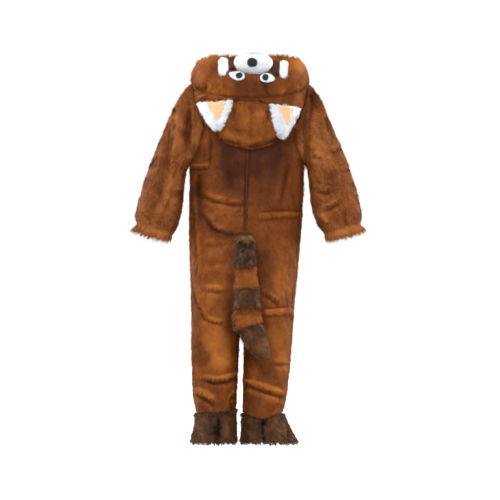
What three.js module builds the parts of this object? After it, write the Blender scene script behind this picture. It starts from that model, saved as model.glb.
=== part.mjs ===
// A child's red panda costume: a one-piece plush suit with sleeves, legs, shoe covers, a stuffed ringed tail
// and a face hood that hangs down the back. The suit is filled out and hollow, with nobody in it.
// Millimetres. +Z is up, +Y is the way the wearer faces, +X is the wearer's right.
// The origin is where the neck and shoulders hold the suit: the middle of the neck hole, at shoulder height.
import * as THREE from "three";

// Driving dimensions
const SEAM_GAP = 0.3; // between pieces that are sewn together
const PLUSH = 6; // backing and lying pile of the suit's cloth
const LONG_PLUSH = 9; // the same for the dark shoe covers
const LEAN = 0.032; // sideways shift of the suit for each unit of height, to the wearer's left
const SLEEVE_LEAN = 0.01;

// Suit levels, as heights
const ARMPIT_Z = -240;
const HIP_Z = -560;
const CROTCH_Z = -660;
const LEG_TOP_Z = -676;
const ANKLE_Z = -918;
const HEM_Z = -998;

// Grid of a suit panel
const COLUMNS = 11;
const YOKE_ROWS = 9;
const TORSO_ROWS = 7;
const RISE_ROWS = 6;
const LEG_ROWS = 10;
const BOXINESS = 0.86; // exponent of the sections: 1 is an ellipse, less is squarer

// Half width and half depths of the suit by height. On the legs the width runs from the middle to the
// outside.
const GIRTHS = [
  { z: ARMPIT_Z, width: 158, back: 97, front: 94 },
  { z: -340, width: 158, back: 94, front: 95 },
  { z: -440, width: 155, back: 97, front: 98 },
  { z: -520, width: 150, back: 102, front: 99 },
  { z: -600, width: 144, back: 98, front: 95 },
  { z: -680, width: 141, back: 84, front: 82 },
  { z: -760, width: 138, back: 74, front: 76 },
  { z: -840, width: 133, back: 68, front: 71 },
  { z: -885, width: 129, back: 65, front: 68 },
  { z: ANKLE_Z, width: 121, back: 61, front: 64 },
];
// Half of the space between the legs, and what it gains to the ankle
const LEG_GAP = { top: 4.2, spread: 3.6 };

// Neck hole, shoulder and armhole
const NECK = { halfWidth: 64, back: 56, front: 60, backDip: 12, frontDip: 58, share: 0.45 };
const SHOULDER = { x: 150, z: -8 };
const ARMHOLE = { depth: 62, inboard: 33 };
const YOKE_ROUND = 2.5; // how long the back stays full before it turns over the shoulder

// Sleeve sections from the armhole to the cuff: the outer and inner line in the front view, and the half
// depth
const SLEEVE = [
  { outX: 176, outZ: -17, inX: 164, inZ: -252, rightIn: 0, depth: 62 },
  { outX: 202, outZ: -60, inX: 169, inZ: -272, rightIn: -2, depth: 60 },
  { outX: 222, outZ: -106, inX: 172, inZ: -292, rightIn: -5, depth: 58 },
  { outX: 241, outZ: -152, inX: 175, inZ: -312, rightIn: -8, depth: 57 },
  { outX: 261, outZ: -198, inX: 178, inZ: -332, rightIn: -10, depth: 56 },
  { outX: 277, outZ: -242, inX: 181, inZ: -352, rightIn: -10, depth: 56 },
  { outX: 292, outZ: -286, inX: 184, inZ: -372, rightIn: -8, depth: 55 },
  { outX: 304, outZ: -328, inX: 188, inZ: -392, rightIn: -5, depth: 53 },
  { outX: 313, outZ: -366, inX: 193, inZ: -408, rightIn: -3, depth: 50 },
  { outX: 315, outZ: -386, inX: 199, inZ: -419, rightIn: -1, depth: 47 },
  { outX: 309, outZ: -397, inX: 206, inZ: -427, rightIn: 0, depth: 40 },
  { outX: 315, outZ: -405, inX: 208, inZ: -433, rightIn: 0, depth: 44 },
  { outX: 320, outZ: -411, inX: 211, inZ: -440, rightIn: 0, depth: 47 },
];
const SLEEVE_STEPS = 17;
const SLEEVE_FORWARD = 8; // how far the cuff hangs in front of the shoulder
const CUFF = { gathers: 9, height: 3.2, from: 0.84, backDrop: 9 };

// Shoe covers. Their upper seam isn't level: it rises or dips at a share of the way round, from the outer to
// the inner side.
const ANKLE_DIPS = [
  { side: -1, faces: [-1, 1], at: 1, lift: 14, width: 0.3 },
  { side: 1, faces: [-1], at: 0.52, lift: -17, width: 0.22 },
  { side: 1, faces: [1], at: 0.4, lift: -8, width: 0.25 },
];
const SHOE = { innerX: 3, backY: 78, frontY: 118, rows: 5, pleats: 5, pleatDepth: 8, flare: 1.2 };
const SHOE_OUTER_X = { left: 127, right: 160 }; // the right cover is spread wider at its hem

// Folds that are large enough for the solids: a ridge, or below 0 a trough, along points in the back or front
// view
const BODY_FOLDS = [
  { side: "back", height: 4, width: 18, points: [[-130, -316], [-80, -331], [-4, -335]] },
  { side: "back", height: -6, width: 22, points: [[-138, -352], [-104, -405], [-60, -440]] },
  { side: "back", height: 4, width: 18, points: [[36, -380], [138, -366]] },
  { side: "back", height: 3, width: 20, points: [[-132, -500], [-50, -508]] },
  { side: "back", height: 4, width: 16, points: [[-128, -586], [-56, -583]] },
  { side: "back", height: 7, width: 22, points: [[-134, -566], [-112, -618], [-82, -700], [-66, -800]] },
  { side: "back", height: -5, width: 18, points: [[-44, -690], [-26, -810]] },
  { side: "back", height: 4, width: 16, points: [[60, -646], [134, -646]] },
  { side: "back", height: 4, width: 16, points: [[66, -596], [100, -632]] },
  { side: "back", height: 3, width: 16, points: [[70, -781], [122, -784]] },
  { side: "back", height: 6, width: 15, points: [[-110, -818], [-16, -816]] },
  { side: "back", height: -6, width: 17, points: [[-114, -842], [-28, -852]] },
  { side: "back", height: 6, width: 16, points: [[-140, -853], [-115, -868], [-76, -882]] },
  { side: "back", height: 7, width: 17, points: [[-6, -830], [38, -848], [108, -868]] },
  { side: "back", height: -6, width: 18, points: [[2, -868], [38, -890], [80, -900]] },
  { side: "front", height: -5, width: 24, points: [[128, -372], [90, -420], [34, -446]] },
  { side: "front", height: 5, width: 22, points: [[-120, -560], [-70, -600], [-30, -612]] },
  { side: "front", height: 6, width: 22, points: [[120, -590], [84, -700], [44, -800]] },
  { side: "front", height: 6, width: 17, points: [[-140, -836], [-84, -846], [-34, -838]] },
  { side: "front", height: -6, width: 18, points: [[-130, -866], [-50, -872]] },
  { side: "front", height: 7, width: 18, points: [[-8, -846], [50, -862], [100, -852]] },
  { side: "front", height: -5, width: 18, points: [[4, -884], [90, -886]] },
];
// Folds along the sleeves: share of the length and angle round the sleeve, from the top through the back
const SLEEVE_FOLDS = [
  { side: -1, height: -8, width: 17, points: [[0.04, 78], [0.3, 96], [0.55, 104]] },
  { side: -1, height: 6, width: 20, points: [[0.1, 52], [0.4, 70], [0.8, 84]] },
  { side: -1, height: -5, width: 18, points: [[0.35, 128], [0.75, 112]] },
  { side: -1, height: 5, width: 24, points: [[0.1, 292], [0.5, 272], [0.8, 262]] },
  { side: 1, height: -7, width: 18, points: [[0.02, 62], [0.25, 48], [0.42, 40]] },
  { side: 1, height: 6, width: 20, points: [[0.08, 86], [0.32, 78], [0.5, 84]] },
  { side: 1, height: -5, width: 18, points: [[0.5, 70], [0.62, 110], [0.7, 150]] },
  { side: 1, height: -6, width: 22, points: [[0.1, 250], [0.45, 262], [0.7, 280]] },
];

// Tail: centre line and half sizes, from the seat down
const TAIL = [
  { x: -13, z: -441, out: 0, width: 24, depth: 21 },
  { x: -13, z: -450, out: 22, width: 27, depth: 24 },
  { x: -13, z: -472, out: 33, width: 28.5, depth: 27 },
  { x: -12, z: -520, out: 36, width: 29.5, depth: 28 },
  { x: -10, z: -575, out: 38, width: 33, depth: 30 },
  { x: -8, z: -626, out: 41, width: 38, depth: 32 },
  { x: -7, z: -672, out: 43, width: 43, depth: 34 },
  { x: 5, z: -697, out: 43, width: 39, depth: 32 },
  { x: 19, z: -727, out: 43, width: 32, depth: 28 },
  { x: 35, z: -750, out: 42, width: 23, depth: 20 },
  { x: 48, z: -766, out: 41, width: 11, depth: 11 },
];
// Each piece runs between two shares of the centre line's length. It starts a little narrower than it ends.
const TAIL_PIECES = [
  { name: "tail_root_dark", from: 0, to: 0.28, narrow: 1, colour: "bark", steps: 5 },
  { name: "tail_ring_light_upper", from: 0.28, to: 0.43, narrow: 0.94, colour: "rust", steps: 5 },
  { name: "tail_ring_dark", from: 0.43, to: 0.575, narrow: 0.94, colour: "bark", steps: 5 },
  { name: "tail_ring_light_lower", from: 0.575, to: 0.713, narrow: 0.94, colour: "rust", steps: 5 },
  { name: "tail_tip_dark", from: 0.713, to: 1, narrow: 0.86, colour: "bark", steps: 7 },
];
const TAIL_SPOKES = 18;
const TAIL_POINT = { x: 4, z: -5 }; // how far the tip runs past the last section

// Hood that hangs down, by angle from the back round: where its lower layer ends in a fold, its rim, how far
// the cloth bulges low and high between them, and the share of that way at which the crown seam runs
const HOOD_FOLD_LINE = [
  { angle: 0, x: 0, y: -112, z: -192 },
  { angle: 20, x: 62, y: -108, z: -174 },
  { angle: 40, x: 112, y: -90, z: -134 },
  { angle: 60, x: 138, y: -62, z: -84 },
  { angle: 80, x: 146, y: -22, z: -26 },
  { angle: 100, x: 128, y: 18, z: -8 },
  { angle: 125, x: 98, y: 54, z: -22 },
  { angle: 150, x: 58, y: 78, z: -48 },
  { angle: 173, x: 20, y: 90, z: -74 },
];
const HOOD_RIM = [
  { angle: 0, x: 0, y: -128, z: 50 },
  { angle: 20, x: 48, y: -127, z: 50 },
  { angle: 40, x: 100, y: -118, z: 51 },
  { angle: 60, x: 132, y: -90, z: 45 },
  { angle: 80, x: 146, y: -40, z: 36 },
  { angle: 100, x: 138, y: 14, z: 30 },
  { angle: 125, x: 106, y: 62, z: 16 },
  { angle: 150, x: 62, y: 92, z: -12 },
  { angle: 173, x: 18, y: 104, z: -42 },
];
const HOOD_BULGE = [
  { angle: 0, low: 44, high: 42, seam: 0.6 },
  { angle: 20, low: 42, high: 42, seam: 0.59 },
  { angle: 40, low: 38, high: 37, seam: 0.56 },
  { angle: 60, low: 33, high: 29, seam: 0.52 },
  { angle: 80, low: 22, high: 19, seam: 0.5 },
  { angle: 100, low: 16, high: 14, seam: 0.5 },
  { angle: 125, low: 14, high: 12, seam: 0.5 },
  { angle: 150, low: 12, high: 10, seam: 0.5 },
  { angle: 173, low: 10, high: 8, seam: 0.5 },
];
const HOOD_GRID = { columns: 34, crownRows: 6, faceRows: 6 };
const NAPE = [
  { share: 0, clear: 0 },
  { share: 0.08, clear: 5.5 },
  { share: 0.27, clear: 8 },
  { share: 0.5, clear: 9.5 },
  { share: 0.75, clear: 8.5 },
  { share: 1, clear: 6 },
]; // the hood's lower layer, from the neck seam to the fold, above the cloth it lies on
const HOOD_PLUSH = 5;
const HOOD_FOLDS = [
  { height: -7, width: 13, points: [[-155, -28], [-135, -40], [-113, -30]] },
  { height: 6, width: 14, points: [[-105, -12], [-93, -34], [-81, -56]] },
  { height: -5, width: 11, points: [[-84, -10], [-76, -32], [-64, -50]] },
  { height: -4, width: 15, points: [[28, -18], [48, -48], [60, -66]] },
  { height: 4, width: 13, points: [[112, -44], [82, -62]] },
  { height: 4, width: 17, points: [[36, -88], [37, -150]] },
  { height: -3, width: 15, points: [[4, -92], [1, -168]] },
  { height: 3, width: 17, points: [[-34, -90], [-28, -158]] },
];

// Face, in the back view, upside down on the hanging hood and a little askew. A tail draws out the outer end
// of a patch, which falls by so much.
const PATCHES = [
  { name: "cheek_left", x: -73, z: 25, halfX: 12.5, halfZ: 24, turn: -4, round: 2.8, tail: 0, fall: 0 },
  { name: "cheek_right", x: 92.6, z: 18, halfX: 11, halfZ: 23, turn: -2, round: 2.8, tail: 0, fall: 0 },
  { name: "stripe_left", x: -49, z: 34, halfX: 9.5, halfZ: 17, turn: 0, round: 3.4, tail: 0, fall: 0 },
  { name: "stripe_right", x: 69.8, z: 22, halfX: 9.9, halfZ: 20, turn: 6, round: 3.4, tail: 0, fall: 0 },
  { name: "eye_left", x: -34, z: 2, halfX: 18.5, halfZ: 11.8, turn: 0, round: 2.3, tail: 0.3, fall: -6 },
  { name: "eye_right", x: 44.5, z: -2.5, halfX: 17.5, halfZ: 12.2, turn: 0, round: 2.2, tail: 0.35, fall: 3 },
];
const PATCH_LOOKS = {
  cheek: { thick: 3, colour: "snow" },
  stripe: { thick: 2.4, colour: "bark" },
  eye: { thick: 4.5, colour: "snow" },
};
const PUPILS = [
  { name: "pupil_left", eye: "eye_left", x: -30, z: 3.5, halfX: 9, halfZ: 7.6 },
  { name: "pupil_right", eye: "eye_right", x: 41.5, z: -1.5, halfX: 8, halfZ: 8.6 },
];
const PUPIL_HEIGHT = 5;
const MUZZLE = { x: 8.5, z: 27, halfX: 54, halfZ: 19, round: 2.5, turn: -3, base: 0.84, swell: 0.38 };
const MUZZLE_REACH = { out: 40, up: 29 };
const NOSE = { x: 6, z: 37.5, halfX: 14.3, halfZ: 13, turn: 0, round: 2.2, tail: 0, fall: 0, high: 9 };
// Ears: the three corners of the fur and of the felt in the back view. The costume lies a little askew.
const EARS = [
  { side: "left", fur: [[-142, -73], [-53, -66], [-90, -143]], felt: [[-120, -71], [-66, -68], [-89, -117]] },
  { side: "right", fur: [[59, -76], [135, -87], [88, -162]], felt: [[77, -80], [121, -87], [102, -131]] },
];
const EAR = { clear: 3.4, thick: 4.5, felt: 1.4, rows: 6, columns: 6, tip: 0.2, feltTip: 0.08, bulge: 0.1 };

// Front closing: a placket with buttons
const PLACKET = { top: -84, bottom: -560, half: 19, thick: 3, clear: 0.9, rows: 18 };
const BUTTONS = { count: 5, radius: 10, thick: 4, first: -118, last: -520 };

const COLOURS = {
  rust: 0x8a4516,
  bark: 0x3f2517,
  snow: 0xf2f4f6,
  felt: 0xf3bd8a,
  ink: 0x17191c,
  horn: 0x4a2b18,
};

// Small tools
const RAD = Math.PI / 180;
const vec = (x, y, z) => new THREE.Vector3(x, y, z);
const lerp = (a, b, t) => a + (b - a) * t;
const clamp01 = (t) => Math.min(1, Math.max(0, t));
const smooth = (t) => clamp01(t) ** 2 * (3 - 2 * clamp01(t));
const range = (n) => [...Array(n).keys()];
const bow = (value, power) => Math.sign(value) * Math.abs(value) ** power;

// Reads a table at a place on one column, with a smooth curve through its rows.
function readTable(rows, column, at) {
  const up = rows[rows.length - 1][column] > rows[0][column];
  let i = rows.findIndex((row) => (up ? row[column] > at : row[column] < at)) - 1;
  if (i === -2) i = rows.length - 2;
  i = Math.max(0, Math.min(rows.length - 2, i));
  const [a, b] = [rows[i], rows[i + 1]];
  const [before, after] = [rows[i - 1] ?? a, rows[i + 2] ?? b];
  const t = clamp01((at - a[column]) / (b[column] - a[column]));
  const read = {};
  for (const key of Object.keys(a)) {
    const step = b[column] - a[column];
    const slope = (from, to) => ((to[key] - from[key]) / (to[column] - from[column])) * step;
    const slopeA = slope(before, b);
    const slopeB = slope(a, after);
    const [t2, t3] = [t * t, t * t * t];
    const ends = (2 * t3 - 3 * t2 + 1) * a[key] + (3 * t2 - 2 * t3) * b[key];
    read[key] = ends + (t3 - 2 * t2 + t) * slopeA + (t3 - t2) * slopeB;
  }
  return read;
}

// Height of a fold at a place in its own two coordinates: a soft ridge that fades at its ends.
function foldHeight(fold, u, v, scaleU = 1) {
  const { points, width, height } = fold;
  let best = Infinity;
  let along = 0;
  for (let i = 0; i + 1 < points.length; i++) {
    const [au, av] = [points[i][0] * scaleU, points[i][1]];
    const [bu, bv] = [points[i + 1][0] * scaleU, points[i + 1][1]];
    const dot = (u * scaleU - au) * (bu - au) + (v - av) * (bv - av);
    const t = clamp01(dot / ((bu - au) ** 2 + (bv - av) ** 2));
    const away = Math.hypot(u * scaleU - au - t * (bu - au), v - av - t * (bv - av));
    if (away < best) {
      best = away;
      along = (i + t) / (points.length - 1);
    }
  }
  const ends = 0.35 + 0.65 * Math.sin(Math.PI * Math.min(0.94, Math.max(0.06, along)));
  return height * ends * Math.exp(-((best / width) ** 2));
}

// Cloth walls from grids of outer points

// A patch has rows of points, a sign that turns its normals outwards, and closed = true for a tube.
const keyOf = (p) => [p.x, p.y, p.z].map((c) => Math.round(c * 50)).join();

function addNormals(patches) {
  const sums = new Map();
  for (const { rows, sign, closed } of patches) {
    const last = rows[0].length - (closed ? 0 : 1);
    for (let i = 0; i + 1 < rows.length; i++) {
      for (let j = 0; j < last; j++) {
        const k = (j + 1) % rows[0].length;
        const corners = [rows[i][j], rows[i][k], rows[i + 1][k], rows[i + 1][j]];
        const across = corners[2].clone().sub(corners[0]);
        const normal = across.cross(corners[1].clone().sub(corners[3])).multiplyScalar(sign);
        for (const p of corners) {
          const key = keyOf(p);
          sums.set(key, (sums.get(key) ?? vec(0, 0, 0)).add(normal));
        }
      }
    }
  }
  for (const patch of patches) {
    patch.normals = patch.rows.map((row) => row.map((p) => sums.get(keyOf(p)).clone().normalize()));
  }
}

// Moves a patch's free edges in by half a seam gap.
function trimEdges(patch, gap) {
  const { rows, closed } = patch;
  const original = rows.map((row) => row.map((p) => p.clone()));
  const pull = (i, j, k, l) => {
    const step = original[k][l].clone().sub(original[i][j]).normalize().multiplyScalar(gap / 2);
    rows[i][j].add(step);
  };
  const [m, n] = [rows.length - 1, rows[0].length - 1];
  for (let j = 0; j <= n; j++) {
    pull(0, j, 1, j);
    pull(m, j, m - 1, j);
  }
  if (closed) return;
  for (let i = 0; i <= m; i++) {
    pull(i, 0, i, 1);
    pull(i, n, i, n - 1);
  }
}

const middleOf = (points) => points.reduce((sum, p) => sum.add(p), vec(0, 0, 0)).divideScalar(points.length);

function pushSquare(triangles, a, b, c, d) {
  triangles.push(a, b, c, a, c, d);
}

function solidFrom(positions, triangles) {
  const geometry = new THREE.BufferGeometry();
  geometry.setAttribute("position", new THREE.Float32BufferAttribute(positions, 3));
  geometry.setIndex(triangles);
  let volume = 0;
  const at = (i) => vec(positions[3 * i], positions[3 * i + 1], positions[3 * i + 2]);
  for (let i = 0; i < triangles.length; i += 3) {
    volume += at(triangles[i]).dot(at(triangles[i + 1]).cross(at(triangles[i + 2])));
  }
  if (volume < 0) {
    for (let i = 0; i < triangles.length; i += 3) {
      [triangles[i + 1], triangles[i + 2]] = [triangles[i + 2], triangles[i + 1]];
    }
    geometry.setIndex(triangles);
  }
  geometry.computeVertexNormals();
  return geometry;
}

// Closes two like grids of points, an upper and a lower side, into one solid. Each square is cut along its
// shorter diagonal, so that pieces which share a seam have the same edge.
function closeGrids(upper, lower, closed) {
  const [m, n] = [upper.length, upper[0].length];
  const points = [...upper.flat(), ...lower.flat()];
  const triangles = [];
  const top = (i, j) => i * n + (j % n);
  const under = (i, j) => m * n + i * n + (j % n);
  const quad = (a, b, c, d, by = [a, b, c, d]) => {
    const [p, q, r, s] = by.map((i) => points[i]);
    const falling = p.distanceTo(r) <= q.distanceTo(s) + 1e-6;
    triangles.push(...(falling ? [a, b, c, a, c, d] : [b, c, d, b, d, a]));
  };
  const last = closed ? n : n - 1;
  for (let i = 0; i + 1 < m; i++) {
    for (let j = 0; j < last; j++) {
      const square = [top(i, j), top(i, j + 1), top(i + 1, j + 1), top(i + 1, j)];
      quad(...square);
      const [a, b, c, d] = square;
      quad(under(i, j), under(i + 1, j), under(i + 1, j + 1), under(i, j + 1), [a, d, c, b]);
    }
  }
  for (let j = 0; j < last; j++) {
    quad(top(0, j), under(0, j), under(0, j + 1), top(0, j + 1));
    quad(top(m - 1, j + 1), under(m - 1, j + 1), under(m - 1, j), top(m - 1, j));
  }
  if (!closed) {
    for (let i = 0; i + 1 < m; i++) {
      quad(top(i + 1, 0), under(i + 1, 0), under(i, 0), top(i, 0));
      quad(top(i, n - 1), under(i, n - 1), under(i + 1, n - 1), top(i + 1, n - 1));
    }
  }
  return solidFrom(points.flatMap((p) => [p.x, p.y, p.z]), triangles);
}

const materials = {};
for (const [name, color] of Object.entries(COLOURS)) {
  const roughness = name === "ink" || name === "horn" ? 0.35 : 0.9;
  materials[name] = new THREE.MeshStandardMaterial({ color, roughness, metalness: 0 });
}

const suit = new THREE.Group();

function addMesh(name, geometry, colour) {
  const mesh = new THREE.Mesh(geometry, materials[colour]);
  mesh.name = name;
  suit.add(mesh);
  return mesh;
}

function addWall(patch, thickness, colour, gap = SEAM_GAP) {
  const inner = patch.rows.map((row, i) =>
    row.map((p, j) => p.clone().addScaledVector(patch.normals[i][j], -thickness)),
  );
  const step = inner.map((row, i) => row.map((p, j) => p.sub(patch.rows[i][j])));
  trimEdges(patch, gap);
  const lower = step.map((row, i) => row.map((p, j) => p.add(patch.rows[i][j])));
  return addMesh(patch.name, closeGrids(patch.rows, lower, patch.closed), colour);
}

// Suit: four long panels, from the shoulder to the ankle
function armholePoint(angle) {
  const middle = (SHOULDER.z + ARMPIT_Z) / 2;
  const share = (1 + Math.cos(angle)) / 2;
  return {
    x: lerp(GIRTHS[0].width, SHOULDER.x, share) - ARMHOLE.inboard * Math.abs(Math.sin(angle)) ** 1.5,
    depth: ARMHOLE.depth * Math.abs(Math.sin(angle)),
    z: middle + (SHOULDER.z - middle) * Math.cos(angle),
  };
}

// Shoulder seam and neckline, from the shoulder tip (0) to the middle of the back or front (1)
function topEdge(s, face) {
  const seam = 1 - NECK.share;
  if (s <= seam) {
    const t = s / seam;
    return { x: lerp(SHOULDER.x, NECK.halfWidth, t), depth: 0, z: SHOULDER.z * (1 - smooth(t)) };
  }
  const angle = ((s - seam) / NECK.share) * 90 * RAD;
  const [depth, dip] = face < 0 ? [NECK.back, NECK.backDip] : [NECK.front, NECK.frontDip];
  const [cosine, sine] = [Math.cos(angle), Math.sin(angle)];
  return { x: NECK.halfWidth * cosine, depth: depth * sine, z: -dip * sine ** 2 };
}

function yokePoint(side, face, s, t) {
  const girth = readTable(GIRTHS, "z", ARMPIT_Z);
  const low = sectionPoint(girth, face, s, 0);
  const high = topEdge(s, face);
  const rise = (1 - Math.cos(Math.PI * t)) / 2;
  const full = (1 - rise ** YOKE_ROUND) ** (1 / YOKE_ROUND);
  const fade = (1 - s) ** 2;
  const lift = Math.abs(Math.sin(Math.PI * t));
  const inboard = ARMHOLE.inboard * lift ** (1.5 + 8 * s) * fade;
  const x = lerp(low.x, high.x, rise ** (1 + Math.min(0.9, 3 * s))) - inboard;
  const swell = ARMHOLE.depth * lift ** (1 + 8 * s);
  const depth = lerp(high.depth, low.depth, full) + swell * fade;
  return vec(side * x, face * depth, lerp(ARMPIT_Z, high.z, rise));
}

// A point of a level section. The share m turns the torso's outline (0) into a leg's (1).
function sectionPoint(girth, face, s, m, gap = 0) {
  const end = 90 * (1 + m) * RAD;
  const angle = s * end;
  const middle = (m * (girth.width + gap)) / 2;
  const depth = face < 0 ? girth.back : girth.front;
  const inner = m > 0 ? (middle - gap) / Math.abs(Math.cos(end)) ** BOXINESS : 0;
  const cosine = Math.abs(s - 1) < 1e-9 && m === 0 ? 0 : bow(Math.cos(angle), BOXINESS);
  const x = middle + (cosine > 0 ? girth.width - middle : inner) * cosine;
  const sine = Math.abs(s - 1) < 1e-9 && m === 1 ? 0 : Math.abs(Math.sin(angle)) ** BOXINESS;
  return { x, depth: depth * sine, middle };
}

function lowerPoint(side, face, s, zSide, zEnd, m) {
  const legShare = clamp01((zSide - LEG_TOP_Z) / (ANKLE_Z - LEG_TOP_Z));
  const gap = m < 1 ? 0 : lerp(0, LEG_GAP.top, smooth(legShare * 6)) + LEG_GAP.spread * legShare;
  const point = sectionPoint(readTable(GIRTHS, "z", zSide), face, s, m, gap);
  const z = lerp(zSide, zEnd, smooth((s - 0.35) / 0.65)) + ankleDip(side, face, s) * legShare ** 4;
  const placed = vec(side * point.x, face * point.depth, z);
  const out = vec(side * (point.x - point.middle) * 0.6, face * point.depth, 0);
  const fold = bodyFold(placed, face) * Math.sin(Math.PI * clamp01(s)) ** 0.4;
  if (out.lengthSq() > 1) placed.addScaledVector(out.normalize(), fold);
  return placed;
}

function ankleDip(side, face, s) {
  const dips = ANKLE_DIPS.filter((dip) => dip.side === side && dip.faces.includes(face));
  return dips.reduce((sum, { at, lift, width, faces }) => {
    const ends = faces.length > 1 ? 1 : Math.sin(Math.PI * clamp01(s));
    return sum + lift * ends * Math.exp(-(((s - at) / width) ** 2));
  }, 0);
}

function bodyFold(point, face) {
  const seenX = point.x + LEAN * point.z;
  const name = face < 0 ? "back" : "front";
  const folds = BODY_FOLDS.filter((fold) => fold.side === name);
  return folds.reduce((sum, fold) => sum + foldHeight(fold, seenX, point.z), 0);
}

// Heights of a panel's rows below the armpit, at the side seam and at the centre or inside seam
function lowerRows() {
  const torso = range(TORSO_ROWS).map((i) => {
    const z = lerp(ARMPIT_Z, HIP_Z, (i + 1) / TORSO_ROWS);
    return { side: z, end: z, m: 0 };
  });
  const rise = range(RISE_ROWS).map((i) => {
    const m = (i + 1) / RISE_ROWS;
    return { side: lerp(HIP_Z, LEG_TOP_Z, m), end: lerp(HIP_Z, CROTCH_Z, Math.sin(90 * m * RAD)), m };
  });
  const legs = range(LEG_ROWS).map((i) => {
    const t = (i + 1) / LEG_ROWS;
    const z = lerp(LEG_TOP_Z, ANKLE_Z, t);
    return { side: z, end: lerp(lerp(CROTCH_Z, ANKLE_Z, t), z, smooth(t * 4)), m: 1 };
  });
  return [...torso, ...rise, ...legs];
}

const leaned = (p, lean = LEAN) => p.setX(p.x + lean * p.z);

function suitPanel(name, side, face) {
  const rows = [];
  for (let i = YOKE_ROWS; i >= 0; i--) {
    rows.push(range(COLUMNS + 1).map((j) => leaned(yokePoint(side, face, j / COLUMNS, i / YOKE_ROWS))));
  }
  for (const row of lowerRows()) {
    const place = (j) => lowerPoint(side, face, j / COLUMNS, row.side, row.end, row.m);
    rows.push(range(COLUMNS + 1).map((j) => leaned(place(j))));
  }
  return { name, rows, sign: side * face };
}

const SIDES = [
  { name: "left", side: -1 },
  { name: "right", side: 1 },
];
const panels = SIDES.flatMap(({ name, side }) => [
  suitPanel(`back_${name}`, side, -1),
  suitPanel(`front_${name}`, side, 1),
]);

// Sleeves
const sleeveStart = {
  outX: SHOULDER.x,
  outZ: SHOULDER.z,
  inX: GIRTHS[0].width,
  inZ: ARMPIT_Z,
  rightIn: 0,
  depth: ARMHOLE.depth,
};
const sleeveRows = [sleeveStart, ...SLEEVE].map((row, i) => ({ ...row, i }));

function sleevePoint(side, t, step) {
  const angle = (step / YOKE_ROWS) * Math.PI;
  const hole = armholePoint(angle);
  const start = leaned(vec(side * hole.x, -Math.sign(Math.sin(angle)) * hole.depth, hole.z));
  if (t === 0) return start;
  const at = t * (SLEEVE.length - 0.0001);
  const section = readTable(sleeveRows, "i", at);
  if (side > 0) section.inX += section.rightIn;
  const cosine = Math.cos(angle);
  const round = bow(Math.sin(angle), lerp(1, 0.9, t));
  const [midX, midZ] = [(section.outX + section.inX) / 2, (section.outZ + section.inZ) / 2];
  const [halfX, halfZ] = [(section.outX - section.inX) / 2, (section.outZ - section.inZ) / 2];
  const fade = 1 - smooth(t * (2.2 + 9 * Math.max(0, -cosine)));
  const inboard = ARMHOLE.inboard * Math.abs(Math.sin(angle)) ** 1.5 * fade;
  const point = vec(side * (midX + halfX * cosine - inboard), -section.depth * round, midZ + halfZ * cosine);
  const degrees = (step / YOKE_ROWS) * 180;
  const folds = SLEEVE_FOLDS.filter((fold) => fold.side === side);
  const foldSum = folds.reduce((sum, fold) => sum + foldHeight(fold, t, degrees, 180), 0);
  const gathers = CUFF.height * smooth((t - CUFF.from) / (1 - CUFF.from)) * Math.cos(CUFF.gathers * angle);
  const out = vec(side * halfX * cosine, -section.depth * round, halfZ * cosine).normalize();
  point.addScaledVector(out, foldSum * smooth(t * 8) * (1 - smooth((t - 0.8) / 0.2)) + gathers);
  point.y += SLEEVE_FORWARD * smooth((t - 0.2) / 0.8);
  point.z -= CUFF.backDrop * Math.max(0, Math.sin(angle)) * smooth((t - 0.86) / 0.14);
  return leaned(point, lerp(LEAN, SLEEVE_LEAN, smooth(t * 2)));
}

const sleeves = SIDES.map(({ name, side }) => {
  const ring = (i) => range(2 * YOKE_ROWS).map((j) => sleevePoint(side, i / SLEEVE_STEPS, j));
  return { name: `sleeve_${name}`, rows: range(SLEEVE_STEPS + 1).map(ring), sign: -side, closed: true };
});

// Shoe covers: they flare from the ankle seam to the hem
function shoeCover(name, side, backPanel, frontPanel) {
  const top = [...backPanel.rows.at(-1), ...frontPanel.rows.at(-1).slice(1, -1).reverse()];
  const count = top.length;
  const outerX = side < 0 ? SHOE_OUTER_X.left : SHOE_OUTER_X.right;
  const [middleX, halfX] = [(SHOE.innerX + outerX) / 2, (outerX - SHOE.innerX) / 2];
  const rows = range(SHOE.rows + 1).map((i) => {
    const t = i / SHOE.rows;
    return top.map((p, j) => {
      const angle = (j / count) * 2 * Math.PI;
      const pleat = 1 + (SHOE.pleatDepth / 70) * Math.cos(SHOE.pleats * angle + 0.6 * side);
      const deep = Math.sin(angle) > 0 ? SHOE.backY : SHOE.frontY;
      const x = side * (middleX + halfX * bow(Math.cos(angle), BOXINESS) * (Math.cos(angle) > 0 ? pleat : 1));
      const hem = leaned(vec(x, -deep * bow(Math.sin(angle), BOXINESS) * pleat, HEM_Z));
      const spread = t ** SHOE.flare;
      return vec(lerp(p.x, hem.x, spread), lerp(p.y, hem.y, spread), lerp(p.z, hem.z, t));
    });
  });
  return { name, rows, sign: -side, closed: true };
}

const [backLeft, frontLeft, backRight, frontRight] = panels;
const shoes = [
  shoeCover("shoe_cover_left", -1, backLeft, frontLeft),
  shoeCover("shoe_cover_right", 1, backRight, frontRight),
];

addNormals([...panels, ...sleeves, ...shoes]);
const clothMeshes = [...panels, ...sleeves].map((patch) => addWall(patch, PLUSH, "rust"));
shoes.forEach((patch) => addWall(patch, LONG_PLUSH, "bark", 2 * SEAM_GAP));

// Placing things on the cloth
const caster = new THREE.Raycaster();

// Where a line meets the meshes from outside: a point and the way out of the cloth there.
function landOn(meshes, through, outward) {
  const start = through.clone().addScaledVector(outward, 300);
  caster.set(start, outward.clone().negate().normalize());
  const hit = caster.intersectObjects(meshes, false)[0];
  return hit ? hit.point : null;
}

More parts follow.
